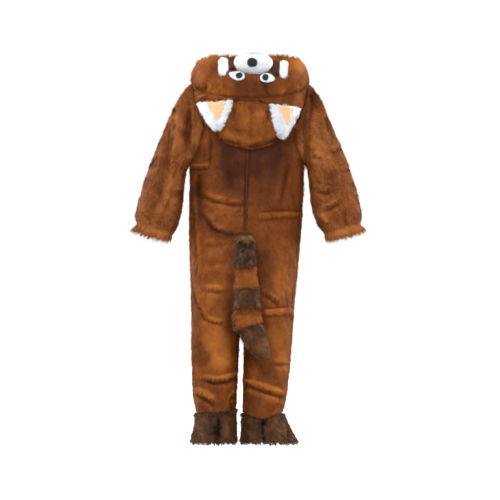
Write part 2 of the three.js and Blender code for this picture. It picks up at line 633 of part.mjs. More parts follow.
// Hood
function hoodTable(table, angle) {
  const row = readTable(table, "angle", Math.abs(angle));
  return { ...row, x: Math.sign(angle) * row.x };
}

function neckPoint(angle) {
  const turn = angle * RAD;
  const back = Math.cos(turn) > 0;
  const dip = (back ? NECK.backDip : NECK.frontDip) * Math.cos(turn) ** 2;
  const depth = back ? NECK.back : NECK.front;
  return leaned(vec(NECK.halfWidth * Math.sin(turn), -depth * Math.cos(turn), -dip));
}

function hoodColumn(angle) {
  const turn = angle * RAD;
  const foldLine = hoodTable(HOOD_FOLD_LINE, angle);
  const rimLine = hoodTable(HOOD_RIM, angle);
  const { low, high, seam } = readTable(HOOD_BULGE, "angle", Math.abs(angle));
  const neck = neckPoint(angle);
  const guess = vec(foldLine.x, foldLine.y, foldLine.z);
  const outward = vec(Math.sin(turn), -Math.cos(turn), 0);
  const lookFrom = vec(0.25 * Math.sin(turn), -Math.cos(turn), 0.25 + 0.9 * Math.sin(turn) ** 2).normalize();
  const points = NAPE.map(({ share, clear }) => {
    if (share === 0) return neck.clone().add(vec(0, 0, 1.2)).addScaledVector(outward, 0.5);
    const place = neck.clone().lerp(guess, share);
    const land = landOn(clothMeshes, place, lookFrom) ?? place;
    return land.addScaledVector(lookFrom, clear);
  });
  const fold = points.at(-1);
  const rim = vec(rimLine.x, rimLine.y, rimLine.z);
  const curve = new THREE.CubicBezierCurve3(
    fold,
    fold.clone().addScaledVector(outward, low).add(vec(0, 0, -0.18 * low)),
    rim.clone().addScaledVector(outward, high).add(vec(0, 0, -1.3 * high)),
    rim,
  );
  const { crownRows, faceRows } = HOOD_GRID;
  const shares = range(crownRows).map((i) => (seam * (i + 1)) / crownRows);
  shares.push(...range(faceRows).map((i) => lerp(seam, 1, (i + 1) / faceRows)));
  const outer = shares.map((share) => {
    const point = curve.getPoint(share);
    const crease = HOOD_FOLDS.reduce((sum, fold) => sum + foldHeight(fold, point.x, point.z), 0);
    return point.addScaledVector(outward, crease * Math.sin(Math.PI * share) ** 0.5);
  });
  return [...points, ...outer];
}

const hoodEnd = HOOD_RIM.at(-1).angle;
const hoodAngles = range(HOOD_GRID.columns + 1).map((j) => lerp(-hoodEnd, hoodEnd, j / HOOD_GRID.columns));
const hoodColumns = hoodAngles.map(hoodColumn);
const hoodRows = hoodColumns[0].map((_, i) => hoodColumns.map((column) => column[i]));
const earSeam = NAPE.length - 1 + HOOD_GRID.crownRows;
const hoodBack = { name: "hood_back", rows: hoodRows.slice(0, earSeam + 1), sign: -1 };
const faceRows = hoodRows.slice(earSeam).map((row) => row.map((p) => p.clone()));
const hoodFace = { name: "hood_face", rows: faceRows, sign: -1 };
addNormals([hoodBack, hoodFace]);
const hoodMeshes = [hoodBack, hoodFace].map((patch) => addWall(patch, HOOD_PLUSH, "rust"));

// Pieces laid on the cloth: a grid of places seen from behind or in front, raised from the surface
const BEHIND = vec(0, -1, 0);
const AHEAD = vec(0, 1, 0);

// The cloth's height at a place. A place that is off the cloth takes the height of the nearest cloth inwards.
function surfaceAt(meshes, x, z, outward, middle = [0, -40]) {
  for (let pull = 0; pull < 0.6; pull += 0.02) {
    const place = vec(lerp(x, middle[0], pull), 0, lerp(z, middle[1], pull));
    const hit = landOn(meshes, place, outward);
    if (hit) return vec(x, hit.y, z);
  }
  throw new Error(`no cloth at ${x}, ${z}`);
}

// A domed piece: rings of places between its middle and its edge, closed by its own underside.
function laidPiece(name, colour, meshes, outward, options) {
  const { outline, rings = 3, spokes = 16, thick, clear = 0.9, crown = 0.5 } = options;
  const layer = (height) =>
    range(rings).map((i) =>
      range(spokes).map((j) => {
        const share = (i + 1) / rings;
        const [x, z] = outline((j / spokes) * 2 * Math.PI, share);
        const dome = thick * (1 - crown + crown * Math.sqrt(1 - share ** 2 * 0.96));
        return surfaceAt(meshes, x, z, outward).addScaledVector(outward, clear + height * dome);
      }),
    );
  const [top, under] = [layer(1), layer(0)];
  const positions = [];
  const push = (p) => positions.push(p.x, p.y, p.z) / 3 - 1;
  const topMiddle = middleOf(top[0].map((p) => p.clone()));
  const grow = thick * crown * (1 - Math.sqrt(1 - (1 / rings) ** 2));
  const a = push(topMiddle.addScaledVector(outward, grow));
  const b = push(middleOf(under[0].map((p) => p.clone())));
  const topAt = top.map((ring) => ring.map(push));
  const underAt = under.map((ring) => ring.map(push));
  const triangles = [];
  for (let j = 0; j < spokes; j++) {
    const k = (j + 1) % spokes;
    triangles.push(a, topAt[0][j], topAt[0][k], b, underAt[0][k], underAt[0][j]);
    for (let i = 0; i + 1 < rings; i++) {
      pushSquare(triangles, topAt[i][j], topAt[i + 1][j], topAt[i + 1][k], topAt[i][k]);
      pushSquare(triangles, underAt[i][k], underAt[i + 1][k], underAt[i + 1][j], underAt[i][j]);
    }
    const e = rings - 1;
    pushSquare(triangles, topAt[e][j], underAt[e][j], underAt[e][k], topAt[e][k]);
  }
  return addMesh(name, solidFrom(positions, triangles), colour);
}

// A rounded outline: a superellipse, turned, at a share of the way from its middle
function roundedOutline({ x, z, halfX, halfZ, turn = 0, round = 2, tail = 0, fall = 0 }) {
  const tilt = turn * RAD;
  const outer = Math.sign(x);
  return (angle, share) => {
    const [cosine, sine] = [bow(Math.cos(angle), 2 / round), bow(Math.sin(angle), 2 / round)];
    const drawn = tail * Math.max(0, cosine * outer);
    const u = halfX * share * cosine * (1 + drawn);
    const v = halfZ * share * sine * (1 - 0.45 * drawn) - fall * Math.max(0, cosine * outer) ** 2 * share;
    return [x + u * Math.cos(tilt) - v * Math.sin(tilt), z + u * Math.sin(tilt) + v * Math.cos(tilt)];
  };
}

const eyes = {};
for (const patch of PATCHES) {
  const { thick, colour } = PATCH_LOOKS[patch.name.split("_")[0]];
  const options = { outline: roundedOutline(patch), thick };
  eyes[patch.name] = laidPiece(patch.name, colour, hoodMeshes, BEHIND, options);
}
for (const pupil of PUPILS) {
  const options = { outline: roundedOutline(pupil), thick: PUPIL_HEIGHT, spokes: 14, crown: 0.8 };
  laidPiece(pupil.name, "ink", [eyes[pupil.eye]], BEHIND, options);
}

// Muzzle: a stuffed ball that rises over the rim
function muzzleMesh() {
  const [rings, spokes] = [7, 20];
  const middle = [MUZZLE.x, MUZZLE.z];
  const outline = roundedOutline({ ...MUZZLE, halfX: MUZZLE.halfX * MUZZLE.base });
  const under = range(3).map((i) =>
    range(spokes).map((j) => {
      const [x, z] = outline((j / spokes) * 2 * Math.PI, (i + 1) / 3);
      return surfaceAt(hoodMeshes, x, Math.min(z, 46), BEHIND).addScaledVector(BEHIND, 0.8);
    }),
  );
  const positions = [];
  const push = (p) => positions.push(p.x, p.y, p.z) / 3 - 1;
  const base = surfaceAt(hoodMeshes, middle[0], middle[1], BEHIND);
  const dome = range(rings).map((i) =>
    range(spokes).map((j) => {
      const rise = ((i + 1) / (rings + 0.5)) * 90 * RAD;
      const [wide, lift] = [Math.cos(rise), Math.sin(rise)];
      const edge = under[2][j];
      const swell = 1 + MUZZLE.swell * Math.sin(2 * rise);
      const x = lerp(base.x, edge.x, wide * swell);
      const y = lerp(base.y, edge.y, wide) - MUZZLE_REACH.out * lift;
      const z = lerp(middle[1], edge.z, wide * swell) + MUZZLE_REACH.up * lift;
      return vec(x, y, z);
    }),
  );
  const bottomMiddle = push(vec(base.x, base.y - 0.8, base.z));
  const topMiddle = push(vec(base.x, base.y - MUZZLE_REACH.out, middle[1] + MUZZLE_REACH.up));
  const layers = [...under, ...dome].map((ring) => ring.map(push));
  const triangles = [];
  for (let j = 0; j < spokes; j++) {
    const k = (j + 1) % spokes;
    triangles.push(bottomMiddle, layers[0][k], layers[0][j]);
    for (let i = 0; i + 1 < layers.length; i++) {
      pushSquare(triangles, layers[i][j], layers[i][k], layers[i + 1][k], layers[i + 1][j]);
    }
    triangles.push(topMiddle, layers.at(-1)[j], layers.at(-1)[k]);
  }
  return addMesh("muzzle", solidFrom(positions, triangles), "snow");
}

const muzzle = muzzleMesh();
laidPiece("nose", "ink", [muzzle], BEHIND, {
  outline: roundedOutline(NOSE),
  thick: NOSE.high,
  crown: 0.8,
});

// Ears: triangles that hang from the seam, as brown back, white front and felt
function trianglePlaces([[ax, az], [bx, bz], [tipX, tipZ]], tip) {
  const { rows, columns, bulge } = EAR;
  return range(rows + 1).map((i) =>
    range(columns + 1).map((j) => {
      const [v, u] = [i / rows, j / columns];
      const narrow = tip + (1 - tip) * (1 - v) + bulge * Math.sin(Math.PI * v);
      const [middleX, middleZ] = [lerp((ax + bx) / 2, tipX, v), lerp((az + bz) / 2, tipZ, v)];
      return [middleX + (bx - ax) * (u - 0.5) * narrow, middleZ + (bz - az) * (u - 0.5) * narrow];
    }),
  );
}

for (const { side, fur, felt } of EARS) {
  const furPlaces = trianglePlaces(fur, EAR.tip);
  const seat = furPlaces.map((row) => row.map(([x, z]) => surfaceAt(hoodMeshes, x, z, BEHIND)));
  const layer = (clear, swell) =>
    seat.map((row, i) =>
      row.map((p, j) => {
        const u = j / EAR.columns;
        const edge = Math.min(1, 4 * u * (1 - u) + 0.4) * (i === EAR.rows ? 0.6 : 1);
        return p.clone().addScaledVector(BEHIND, clear + swell * edge);
      }),
    );
  const { clear, thick } = EAR;
  addMesh(`ear_back_${side}`, closeGrids(layer(clear, thick), layer(clear, 0), false), "rust");
  const front = addMesh(
    `ear_front_${side}`,
    closeGrids(layer(clear + 2 * SEAM_GAP, 2 * thick), layer(clear + 2 * SEAM_GAP, thick), false),
    "snow",
  );
  const middle = [0, 1].map((k) => (felt[0][k] + felt[1][k] + felt[2][k]) / 3);
  const feltPlaces = trianglePlaces(felt, EAR.feltTip);
  const feltSeat = feltPlaces.map((row) => row.map(([x, z]) => surfaceAt([front], x, z, BEHIND, middle)));
  const raised = (height) => (p) => p.clone().addScaledVector(BEHIND, height);
  const feltLayer = (height) => feltSeat.map((row) => row.map(raised(height)));
  addMesh(`ear_felt_${side}`, closeGrids(feltLayer(1 + EAR.felt), feltLayer(1), false), "felt");
}

// Tail

// How far back the suit reaches at a place, read on both sides of the centre seam
function seatDepth(x, z) {
  const reads = [-1.5, 1.5].map((step) => landOn(clothMeshes, vec(x + step, 0, z), BEHIND));
  return Math.min(...reads.map((hit) => hit?.y ?? 0));
}

const tailRows = TAIL.map((row) => {
  const wall = Math.min(seatDepth(row.x, row.z), -100);
  return { ...row, y: (row.out === 0 ? seatDepth(row.x, row.z) - 1 : wall - 3) - row.out };
});
const tailCurve = (key) => (at) => readTable(tailRows.map((row, i) => ({ ...row, i })), "i", at)[key];
const [tailX, tailY, tailZ, tailWidth, tailDepth] = ["x", "y", "z", "width", "depth"].map(tailCurve);

// The tail's centre line, read at a share of its length
const tailSteps = range(121).map((i) => (i / 120) * (tailRows.length - 1));
const tailPath = tailSteps.map((at) => vec(tailX(at), tailY(at), tailZ(at)));
const tailLengths = tailPath.map(((sum) => (p, i) => (sum += i ? p.distanceTo(tailPath[i - 1]) : 0))(0));

function tailPlace(share) {
  const goal = share * tailLengths.at(-1);
  const i = Math.max(1, tailLengths.findIndex((length) => length >= goal));
  const t = (goal - tailLengths[i - 1]) / (tailLengths[i] - tailLengths[i - 1] || 1);
  return lerp(tailSteps[i - 1], tailSteps[i], clamp01(t));
}

function tailRing(share, grow, shift, spokes) {
  const at = tailPlace(share);
  const here = vec(tailX(at), tailY(at), tailZ(at));
  const ahead = vec(tailX(at + 0.05), tailY(at + 0.05), tailZ(at + 0.05));
  const behind = vec(tailX(at - 0.05), tailY(at - 0.05), tailZ(at - 0.05));
  const along = share < 0.001 ? vec(0, -1, 0) : ahead.sub(behind).normalize();
  const across = vec(1, 0, 0).addScaledVector(along, -along.x).normalize();
  const third = along.clone().cross(across).normalize();
  here.addScaledVector(along, shift);
  return range(spokes).map((j) => {
    const angle = (j / spokes) * 2 * Math.PI;
    return here
      .clone()
      .addScaledVector(across, tailWidth(at) * grow * Math.cos(angle))
      .addScaledVector(third, tailDepth(at) * grow * Math.sin(angle));
  });
}

for (const { name, from, to, narrow, colour, steps } of TAIL_PIECES) {
  const trim = SEAM_GAP / 2 + 0.2;
  const rings = range(steps + 1).map((i) => {
    const t = i / steps;
    const shift = i === 0 && from > 0 ? trim : i === steps && to < 1 ? -trim : 0;
    const grow = lerp(narrow, 1, smooth(t * 2)) * lerp(0.99, 1.03, t);
    return tailRing(lerp(from, to, t), grow, shift, TAIL_SPOKES);
  });
  const positions = [];
  const push = (p) => positions.push(p.x, p.y, p.z) / 3 - 1;
  const start = middleOf(rings[0]);
  if (from === 0) [start, ...rings[0]].forEach((p) => p.setY(seatDepth(p.x, p.z) - 1));
  const first = push(start);
  const end = middleOf(rings.at(-1));
  if (to === 1) end.add(vec(TAIL_POINT.x, 0, TAIL_POINT.z));
  const last = push(end);
  const layers = rings.map((ring) => ring.map(push));
  const triangles = [];
  for (let j = 0; j < TAIL_SPOKES; j++) {
    const k = (j + 1) % TAIL_SPOKES;
    triangles.push(first, layers[0][k], layers[0][j], last, layers.at(-1)[j], layers.at(-1)[k]);
    for (let i = 0; i + 1 < layers.length; i++) {
      pushSquare(triangles, layers[i][j], layers[i][k], layers[i + 1][k], layers[i + 1][j]);
    }
  }
  addMesh(name, solidFrom(positions, triangles), colour);
}

// Front placket and buttons
const fronts = clothMeshes.filter((mesh) => mesh.name.startsWith("front"));
const placketAt = (z) => LEAN * z;
const placketRows = (lift) =>
  range(PLACKET.rows + 1).map((i) => {
    const z = lerp(PLACKET.top, PLACKET.bottom, i / PLACKET.rows);
    return [-1, -0.5, 0, 0.5, 1].map((share) => {
      const x = placketAt(z) + share * PLACKET.half;
      const land = landOn(fronts, vec(x, 0, z), AHEAD) ?? landOn(fronts, vec(x + 0.4, 0, z), AHEAD);
      return land.addScaledVector(AHEAD, lift);
    });
  });
const placketSolid = closeGrids(placketRows(PLACKET.clear + PLACKET.thick), placketRows(PLACKET.clear), false);
const placket = addMesh("front_placket", placketSolid, "rust");

for (const i of range(BUTTONS.count)) {
  const z = lerp(BUTTONS.first, BUTTONS.last, i / (BUTTONS.count - 1));
  const readAt = (step) => landOn([placket], vec(placketAt(z) + 0.3, 0, z + step * BUTTONS.radius), AHEAD);
  const reads = [-1, 0, 1].map(readAt);
  const seat = reads[1].setY(Math.max(...reads.map((hit) => hit.y)));
  const disc = new THREE.CylinderGeometry(BUTTONS.radius, BUTTONS.radius * 0.92, BUTTONS.thick, 24);
  disc.deleteAttribute("uv");
  const button = addMesh(`button_${i + 1}`, disc, "horn");
  button.position.copy(seat).addScaledVector(AHEAD, BUTTONS.thick / 2 + 0.6);
}

export default suit;
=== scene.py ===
"""A child's red panda costume in soft plush, seen from behind, with its face hood hanging down the back.

Every cloth piece is a smooth shell made from its solid, with the folds of the real garment, and its pile
stands on it as one mesh of blades. Lengths in the tables are millimetres, and the scene is in metres.
"""

import math

import bmesh
import bpy
import numpy as np
from mathutils import Matrix, Vector
from mathutils.bvhtree import BVHTree
from mathutils.kdtree import KDTree


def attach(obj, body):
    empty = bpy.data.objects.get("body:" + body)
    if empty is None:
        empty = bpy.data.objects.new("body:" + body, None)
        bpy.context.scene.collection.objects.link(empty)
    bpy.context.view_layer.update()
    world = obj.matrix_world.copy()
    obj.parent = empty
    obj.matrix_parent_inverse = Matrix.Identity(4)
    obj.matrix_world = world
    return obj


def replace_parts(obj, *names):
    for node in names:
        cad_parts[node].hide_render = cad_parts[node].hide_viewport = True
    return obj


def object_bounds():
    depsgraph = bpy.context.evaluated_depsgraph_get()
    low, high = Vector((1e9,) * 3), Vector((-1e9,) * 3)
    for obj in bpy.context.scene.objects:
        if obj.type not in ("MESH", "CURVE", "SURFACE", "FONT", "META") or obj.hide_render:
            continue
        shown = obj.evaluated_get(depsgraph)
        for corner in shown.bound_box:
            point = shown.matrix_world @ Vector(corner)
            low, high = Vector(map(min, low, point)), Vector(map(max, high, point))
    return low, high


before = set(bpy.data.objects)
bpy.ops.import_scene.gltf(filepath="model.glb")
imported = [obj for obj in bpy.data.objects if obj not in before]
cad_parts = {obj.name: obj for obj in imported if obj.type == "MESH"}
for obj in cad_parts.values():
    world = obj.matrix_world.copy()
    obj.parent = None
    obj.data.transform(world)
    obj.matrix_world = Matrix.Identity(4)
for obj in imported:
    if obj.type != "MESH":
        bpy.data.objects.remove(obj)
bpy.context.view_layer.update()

MM = 0.001

BACK = -1
FRONT = 1

# How each kind of pile grows: blade length and width, how far it is sunk under the solid's face, its lift
# from the cloth, how much single blades roll, broad swirls turn and tufts gather it, in degrees, and how
# uneven its shine is
PILES = {
    "suit": {
        "length": 11, "width": 2.3, "sink": 3.4, "lift": 14,
        "roll": 12, "swirl": 12, "tuft": 6, "mottle": 0.06,
    },
    "sleeve": {
        "length": 11, "width": 2.3, "sink": 3.6, "lift": 18,
        "roll": 14, "swirl": 22, "tuft": 16, "mottle": 0.08,
    },
    "hood": {
        "length": 12, "width": 2.1, "sink": 3.2, "lift": 16,
        "roll": 16, "swirl": 22, "tuft": 14, "mottle": 0.1,
    },
    "shoe": {
        "length": 15, "width": 2.2, "sink": 4.0, "lift": 18,
        "roll": 20, "swirl": 20, "tuft": 24, "mottle": 0.2,
    },
    "tail": {
        "length": 12, "width": 1.6, "sink": 3.6, "lift": 20,
        "roll": 24, "swirl": 18, "tuft": 24, "mottle": 0.25,
    },
    "ear": {
        "length": 11, "width": 1.3, "sink": 1.2, "lift": 17,
        "roll": 20, "swirl": 12, "tuft": 34, "mottle": 0.2,
    },
    "patch": {
        "length": 8, "width": 1.2, "sink": 0.8, "lift": 22,
        "roll": 20, "swirl": 14, "tuft": 26, "mottle": 0.15,
    },
    "muzzle": {
        "length": 5, "width": 1.0, "sink": 1.6, "lift": 20,
        "roll": 20, "swirl": 14, "tuft": 12, "mottle": 0.08,
    },
    "short": {
        "length": 2.8, "width": 0.8, "sink": 0.8, "lift": 24,
        "roll": 20, "swirl": 20, "tuft": 14, "mottle": 0.1,
    },
}


def form_of(pile, look, nap, **values):
    return {"pile": pile, "look": look, "nap": nap, **values}


def pair(name, pile, look, nap, **values):
    """The left and the right piece of a pair that is made alike."""
    return {
        f"{name}_{side}": form_of(pile, look, nap.format(side=side), **values) for side in ("left", "right")
    }


# Cloth cut as panels and tubes: pile, finish, which way the nap runs, number of blades, the wall's thickness,
# and how much longer the pile is at a free edge
CLOTH = {
    **pair("back", "suit", "rust", "down", blades=76000, wall=6, free=1.0),
    **pair("front", "suit", "rust", "down", blades=46000, wall=6, free=1.0),
    **pair("sleeve", "sleeve", "curled", "arm_{side}", blades=54000, wall=6, free=1.7),
    **pair("shoe_cover", "shoe", "bark", "down", blades=24000, wall=9, free=1.4),
    "hood_back": form_of("hood", "rust", "to_rim", blades=54000, wall=5, free=1.0),
    "hood_face": form_of("hood", "rust", "to_rim", blades=66000, wall=5, free=1.7),
}

# Smaller pieces, sewn on or stuffed
TRIM = {
    **pair("cheek", "patch", "white", "to_rim", blades=3200),
    **pair("stripe", "patch", "bark", "to_rim", blades=2200),
    **pair("eye", "short", "white", "outward", blades=4200),
    **pair("pupil", "short", "ink", "outward", blades=2000),
    "nose": form_of("short", "ink", "outward", blades=4200),
    "muzzle": form_of("muzzle", "pale", "outward", blades=14000),
    **pair("ear_back", "patch", "rust", "fan", blades=5000),
    **pair("ear_front", "ear", "white", "fan", blades=9000),
    "tail_root_dark": form_of("tail", "frosted", "down", blades=9000),
    "tail_ring_light_upper": form_of("tail", "rust", "down", blades=9000),
    "tail_ring_dark": form_of("tail", "bark", "down", blades=6000),
    "tail_ring_light_lower": form_of("tail", "rust", "down", blades=7000),
    "tail_tip_dark": form_of("tail", "bark", "tail_tip", blades=9000),
    "front_placket": form_of("patch", "rust", "down", blades=9000),
}
# Of the panels and tubes, these are rounded once and the rest twice
COARSE = ("front_left", "front_right", "shoe_cover_left", "shoe_cover_right")
LOOSELY_SEWN = ("hood_back", "sleeve_left", "sleeve_right")
PILE_OUTSIDE_ONLY = ("cheek", "stripe", "eye", "pupil", "nose", "ear")  # the pieces' first words

# Which way the nap runs, where that is the same all over a piece
NAPS = {
    "down": (0, 0, -1),
    "arm_left": (-0.34, 0, -0.94),
    "arm_right": (0.34, 0, -0.94),
    "tail_tip": (0.5, 0, -0.87),
}

# Folds of the cloth, by the piles they run over and by the side they are seen from: height, or below 0 depth,
# width, where a trough runs beside a ridge, and points along it from left to right or from the top down
FOLDS = [
    ("suit sleeve", BACK, [
        # Left sleeve and armhole
        (6, 9, (-18, -4), [(-185, -59), (-201, -148), (-209, -217), (-218, -297), (-258, -407)]),
        (4, 5, None, [(-148, -258), (-160, -300)]),
        (3, 7, None, [(-209, -301), (-182, -305)]),
        (-4, 6, None, [(-294, -368), (-275, -396)]),
        (-10, 7, None, [(-165, -60), (-166, -143), (-168, -206)]),
        (5, 6, None, [(-155, -66), (-155, -212)]),
        (4, 5, None, [(-117, -160), (-117, -228)]),
        (-8, 5, None, [(-109, -143), (-109, -217), (-114, -234)]),
        (5, 5, (0, -10), [(-173, -239), (-143, -242), (-113, -240)]),
        (-8, 9, None, [(-142, -248), (-145, -292), (-142, -352)]),
        # Left side seam, down to the knee
        (4, 5, (-8, 0), [(-152, -292), (-147, -377), (-142, -459), (-139, -558)]),
        (6, 7, (-9, -6), [(-147, -572), (-132, -627), (-115, -657), (-94, -666), (-74, -664)]),
        # Upper back
        (-5, 12, None, [(-64, -192), (-63, -327)]),
        (3, 13, None, [(-25, -198), (-19, -324)]),
        (3, 13, None, [(33, -198), (38, -336)]),
        (4, 8, (13, 0), [(95, -226), (85, -294), (73, -349)]),
        (4, 11, None, [(129, -157), (135, -280), (138, -352)]),
        (-8, 7, None, [(147, -82), (153, -198), (151, -286)]),
        (5, 7, (0, -14), [(-129, -311), (-104, -326), (-50, -338), (0, -337)]),
        (-9, 10, None, [(-135, -371), (-104, -415), (-64, -433), (-28, -433)]),
        (4, 8, None, [(-119, -366), (-95, -407), (-66, -419)]),
        (3, 12, None, [(-19, -360), (-19, -418)]),
        (5, 6, (0, 12), [(18, -382), (66, -378), (140, -375)]),
        # Seat and legs
        (3, 9, None, [(-129, -451), (-66, -448)]),
        (-3, 11, None, [(-126, -512), (-55, -506)]),
        (4, 8, (0, -15), [(-124, -572), (-72, -578)]),
        (-5, 16, None, [(-143, -715), (-121, -808)]),
        (7, 6, (0, -16), [(-129, -817), (-102, -825), (-66, -822), (-36, -808)]),
        (7, 8, (-4, -17), [(-154, -851), (-124, -866), (-91, -887)]),
        (4, 5, (7, -2), [(-41, -849), (-57, -879), (-57, -908)]),
        (4, 8, (0, -14), [(32, -578), (55, -594), (84, -616)]),
        (5, 6, (0, 12), [(35, -644), (69, -644), (118, -640)]),
        (3, 7, (0, -12), [(60, -777), (108, -777)]),
        (7, 7, (0, -18), [(-20, -828), (16, -839), (53, -852), (96, -865)]),
        (4, 5, (9, -3), [(102, -852), (81, -904), (53, -940)]),
        (3, 9, None, [(91, -660), (94, -748)]),
        # Right sleeve
        (6, 8, (14, 0), [(194, -47), (201, -81), (206, -157), (216, -179)]),
        (-8, 8, None, [(164, -22), (170, -74), (162, -129), (157, -198), (154, -258)]),
        (4, 11, None, [(186, -77), (179, -143), (170, -204)]),
        (4, 7, (0, -13), [(173, -204), (199, -214)]),
        (5, 6, (5, -13), [(213, -199), (234, -188), (256, -176)]),
        (5, 6, (4, -13), [(242, -249), (264, -241), (278, -234)]),
        (4, 8, (0, -14), [(182, -297), (204, -304), (223, -300)]),
        (5, 7, (5, -14), [(201, -355), (223, -344), (245, -331)]),
        (-4, 14, None, [(214, -256), (228, -294), (231, -324)]),
        (-7, 5, None, [(261, -360), (264, -412)]),
        (4, 7, None, [(187, -368), (214, -399)]),
    ]),
    ("hood", BACK, [
        (-7, 7, None, [(-160, -24), (-139, -47), (-119, -42), (-110, -28)]),
        (5, 6, None, [(-106, -25), (-118, -50), (-139, -63), (-146, -72)]),
        (4, 6, (9, 3), [(-85, -28), (-74, -57), (-85, -66)]),
        (-5, 6, None, [(25, -8), (44, -44), (55, -66)]),
        (4, 6, None, [(82, -72), (91, -52), (104, -36)]),
        (4, 10, None, [(33, -96), (36, -179)]),
        (3, 10, None, [(-26, -82), (-26, -165)]),
        (-5, 8, None, [(6, -82), (6, -176)]),
        (-5, 7, None, [(51, -91), (51, -138)]),
        (-5, 7, None, [(-47, -91), (-47, -135)]),
        (-5, 4, None, [(-55, -78), (-30, -69), (-8, -66), (19, -69), (52, -81)]),
        (3, 4, None, [(-163, -16), (-154, -60), (-142, -94)]),
    ]),
    ("shoe", BACK, [
        (-12, 6, None, [(-89, -918), (-87, -1001)]),
        (-11, 6, None, [(-40, -916), (-36, -996)]),
        (4, 10, None, [(-66, -921), (-63, -998)]),
        (4, 10, None, [(-121, -921), (-121, -998)]),
        (-12, 6, None, [(38, -918), (38, -1001)]),
        (-9, 6, None, [(91, -930), (99, -996)]),
        (4, 10, None, [(3, -924), (3, -998)]),
        (4, 10, None, [(66, -924), (69, -998)]),
    ]),
    ("suit sleeve", FRONT, [
        (4, 8, (0, -13), [(-128, -316), (-80, -330), (-26, -334)]),
        (4, 8, (0, -13), [(30, -352), (84, -346), (136, -330)]),
        (-6, 9, None, [(136, -350), (104, -396), (74, -430)]),
        (4, 9, None, [(-112, -200), (-104, -292)]),
        (-5, 8, None, [(-92, -196), (-86, -300)]),
        (4, 9, None, [(84, -196), (90, -286)]),
        (5, 7, (0, -14), [(-136, -566), (-86, -580), (-40, -574)]),
        (5, 7, (0, -14), [(34, -592), (84, -604), (134, -590)]),
        (5, 8, (8, 0), [(-112, -640), (-92, -720), (-84, -790)]),
        (7, 7, (0, -17), [(-132, -822), (-84, -836), (-30, -824)]),
        (7, 7, (0, -17), [(0, -838), (50, -852), (104, -842)]),
        (5, 7, (4, -14), [(-140, -866), (-110, -880), (-80, -894)]),
        (6, 9, (16, 0), [(-196, -70), (-206, -150), (-216, -230)]),
        (6, 9, (-16, 0), [(196, -60), (206, -150), (214, -200)]),
        (5, 8, (-4, -13), [(-252, -200), (-228, -214), (-206, -232)]),
        (5, 8, (4, -13), [(214, -300), (240, -286), (262, -270)]),
        (5, 8, (-4, -13), [(-280, -318), (-256, -334), (-230, -350)]),
        (-8, 8, None, [(-158, -60), (-156, -150), (-152, -240)]),
        (-8, 8, None, [(156, -60), (158, -150), (150, -240)]),
    ]),
    ("shoe", FRONT, [
        (-8, 6, None, [(-104, -920), (-112, -1000)]),
        (-8, 6, None, [(-60, -920), (-58, -1002)]),
        (-7, 6, None, [(-28, -920), (-20, -1000)]),
        (-8, 6, None, [(40, -920), (36, -1002)]),
        (-8, 6, None, [(76, -920), (84, -1002)]),
        (-6, 6, None, [(112, -924), (130, -996)]),
    ]),
]
FOLD_SPREAD = 2.6  # widths within which a fold is felt
END_FADE = 0.25  # share of a fold over which each end fades, and how much of it is left at the end
TROUGH_DEPTH = 0.8  # of the ridge's height
FOLD_FACING = (0.05, 0.45)  # a fold on one side grows between these shares of facing that side
NAP_AND_LIGHT_FACING = (-0.1, 0.4)  # the same for the pile's nap tone with its painted light and shade
UNEVEN = ((0.7, 0.07, 11), (0.35, 0.03, 12))  # slight unevenness: height in mm, size in metres, seed
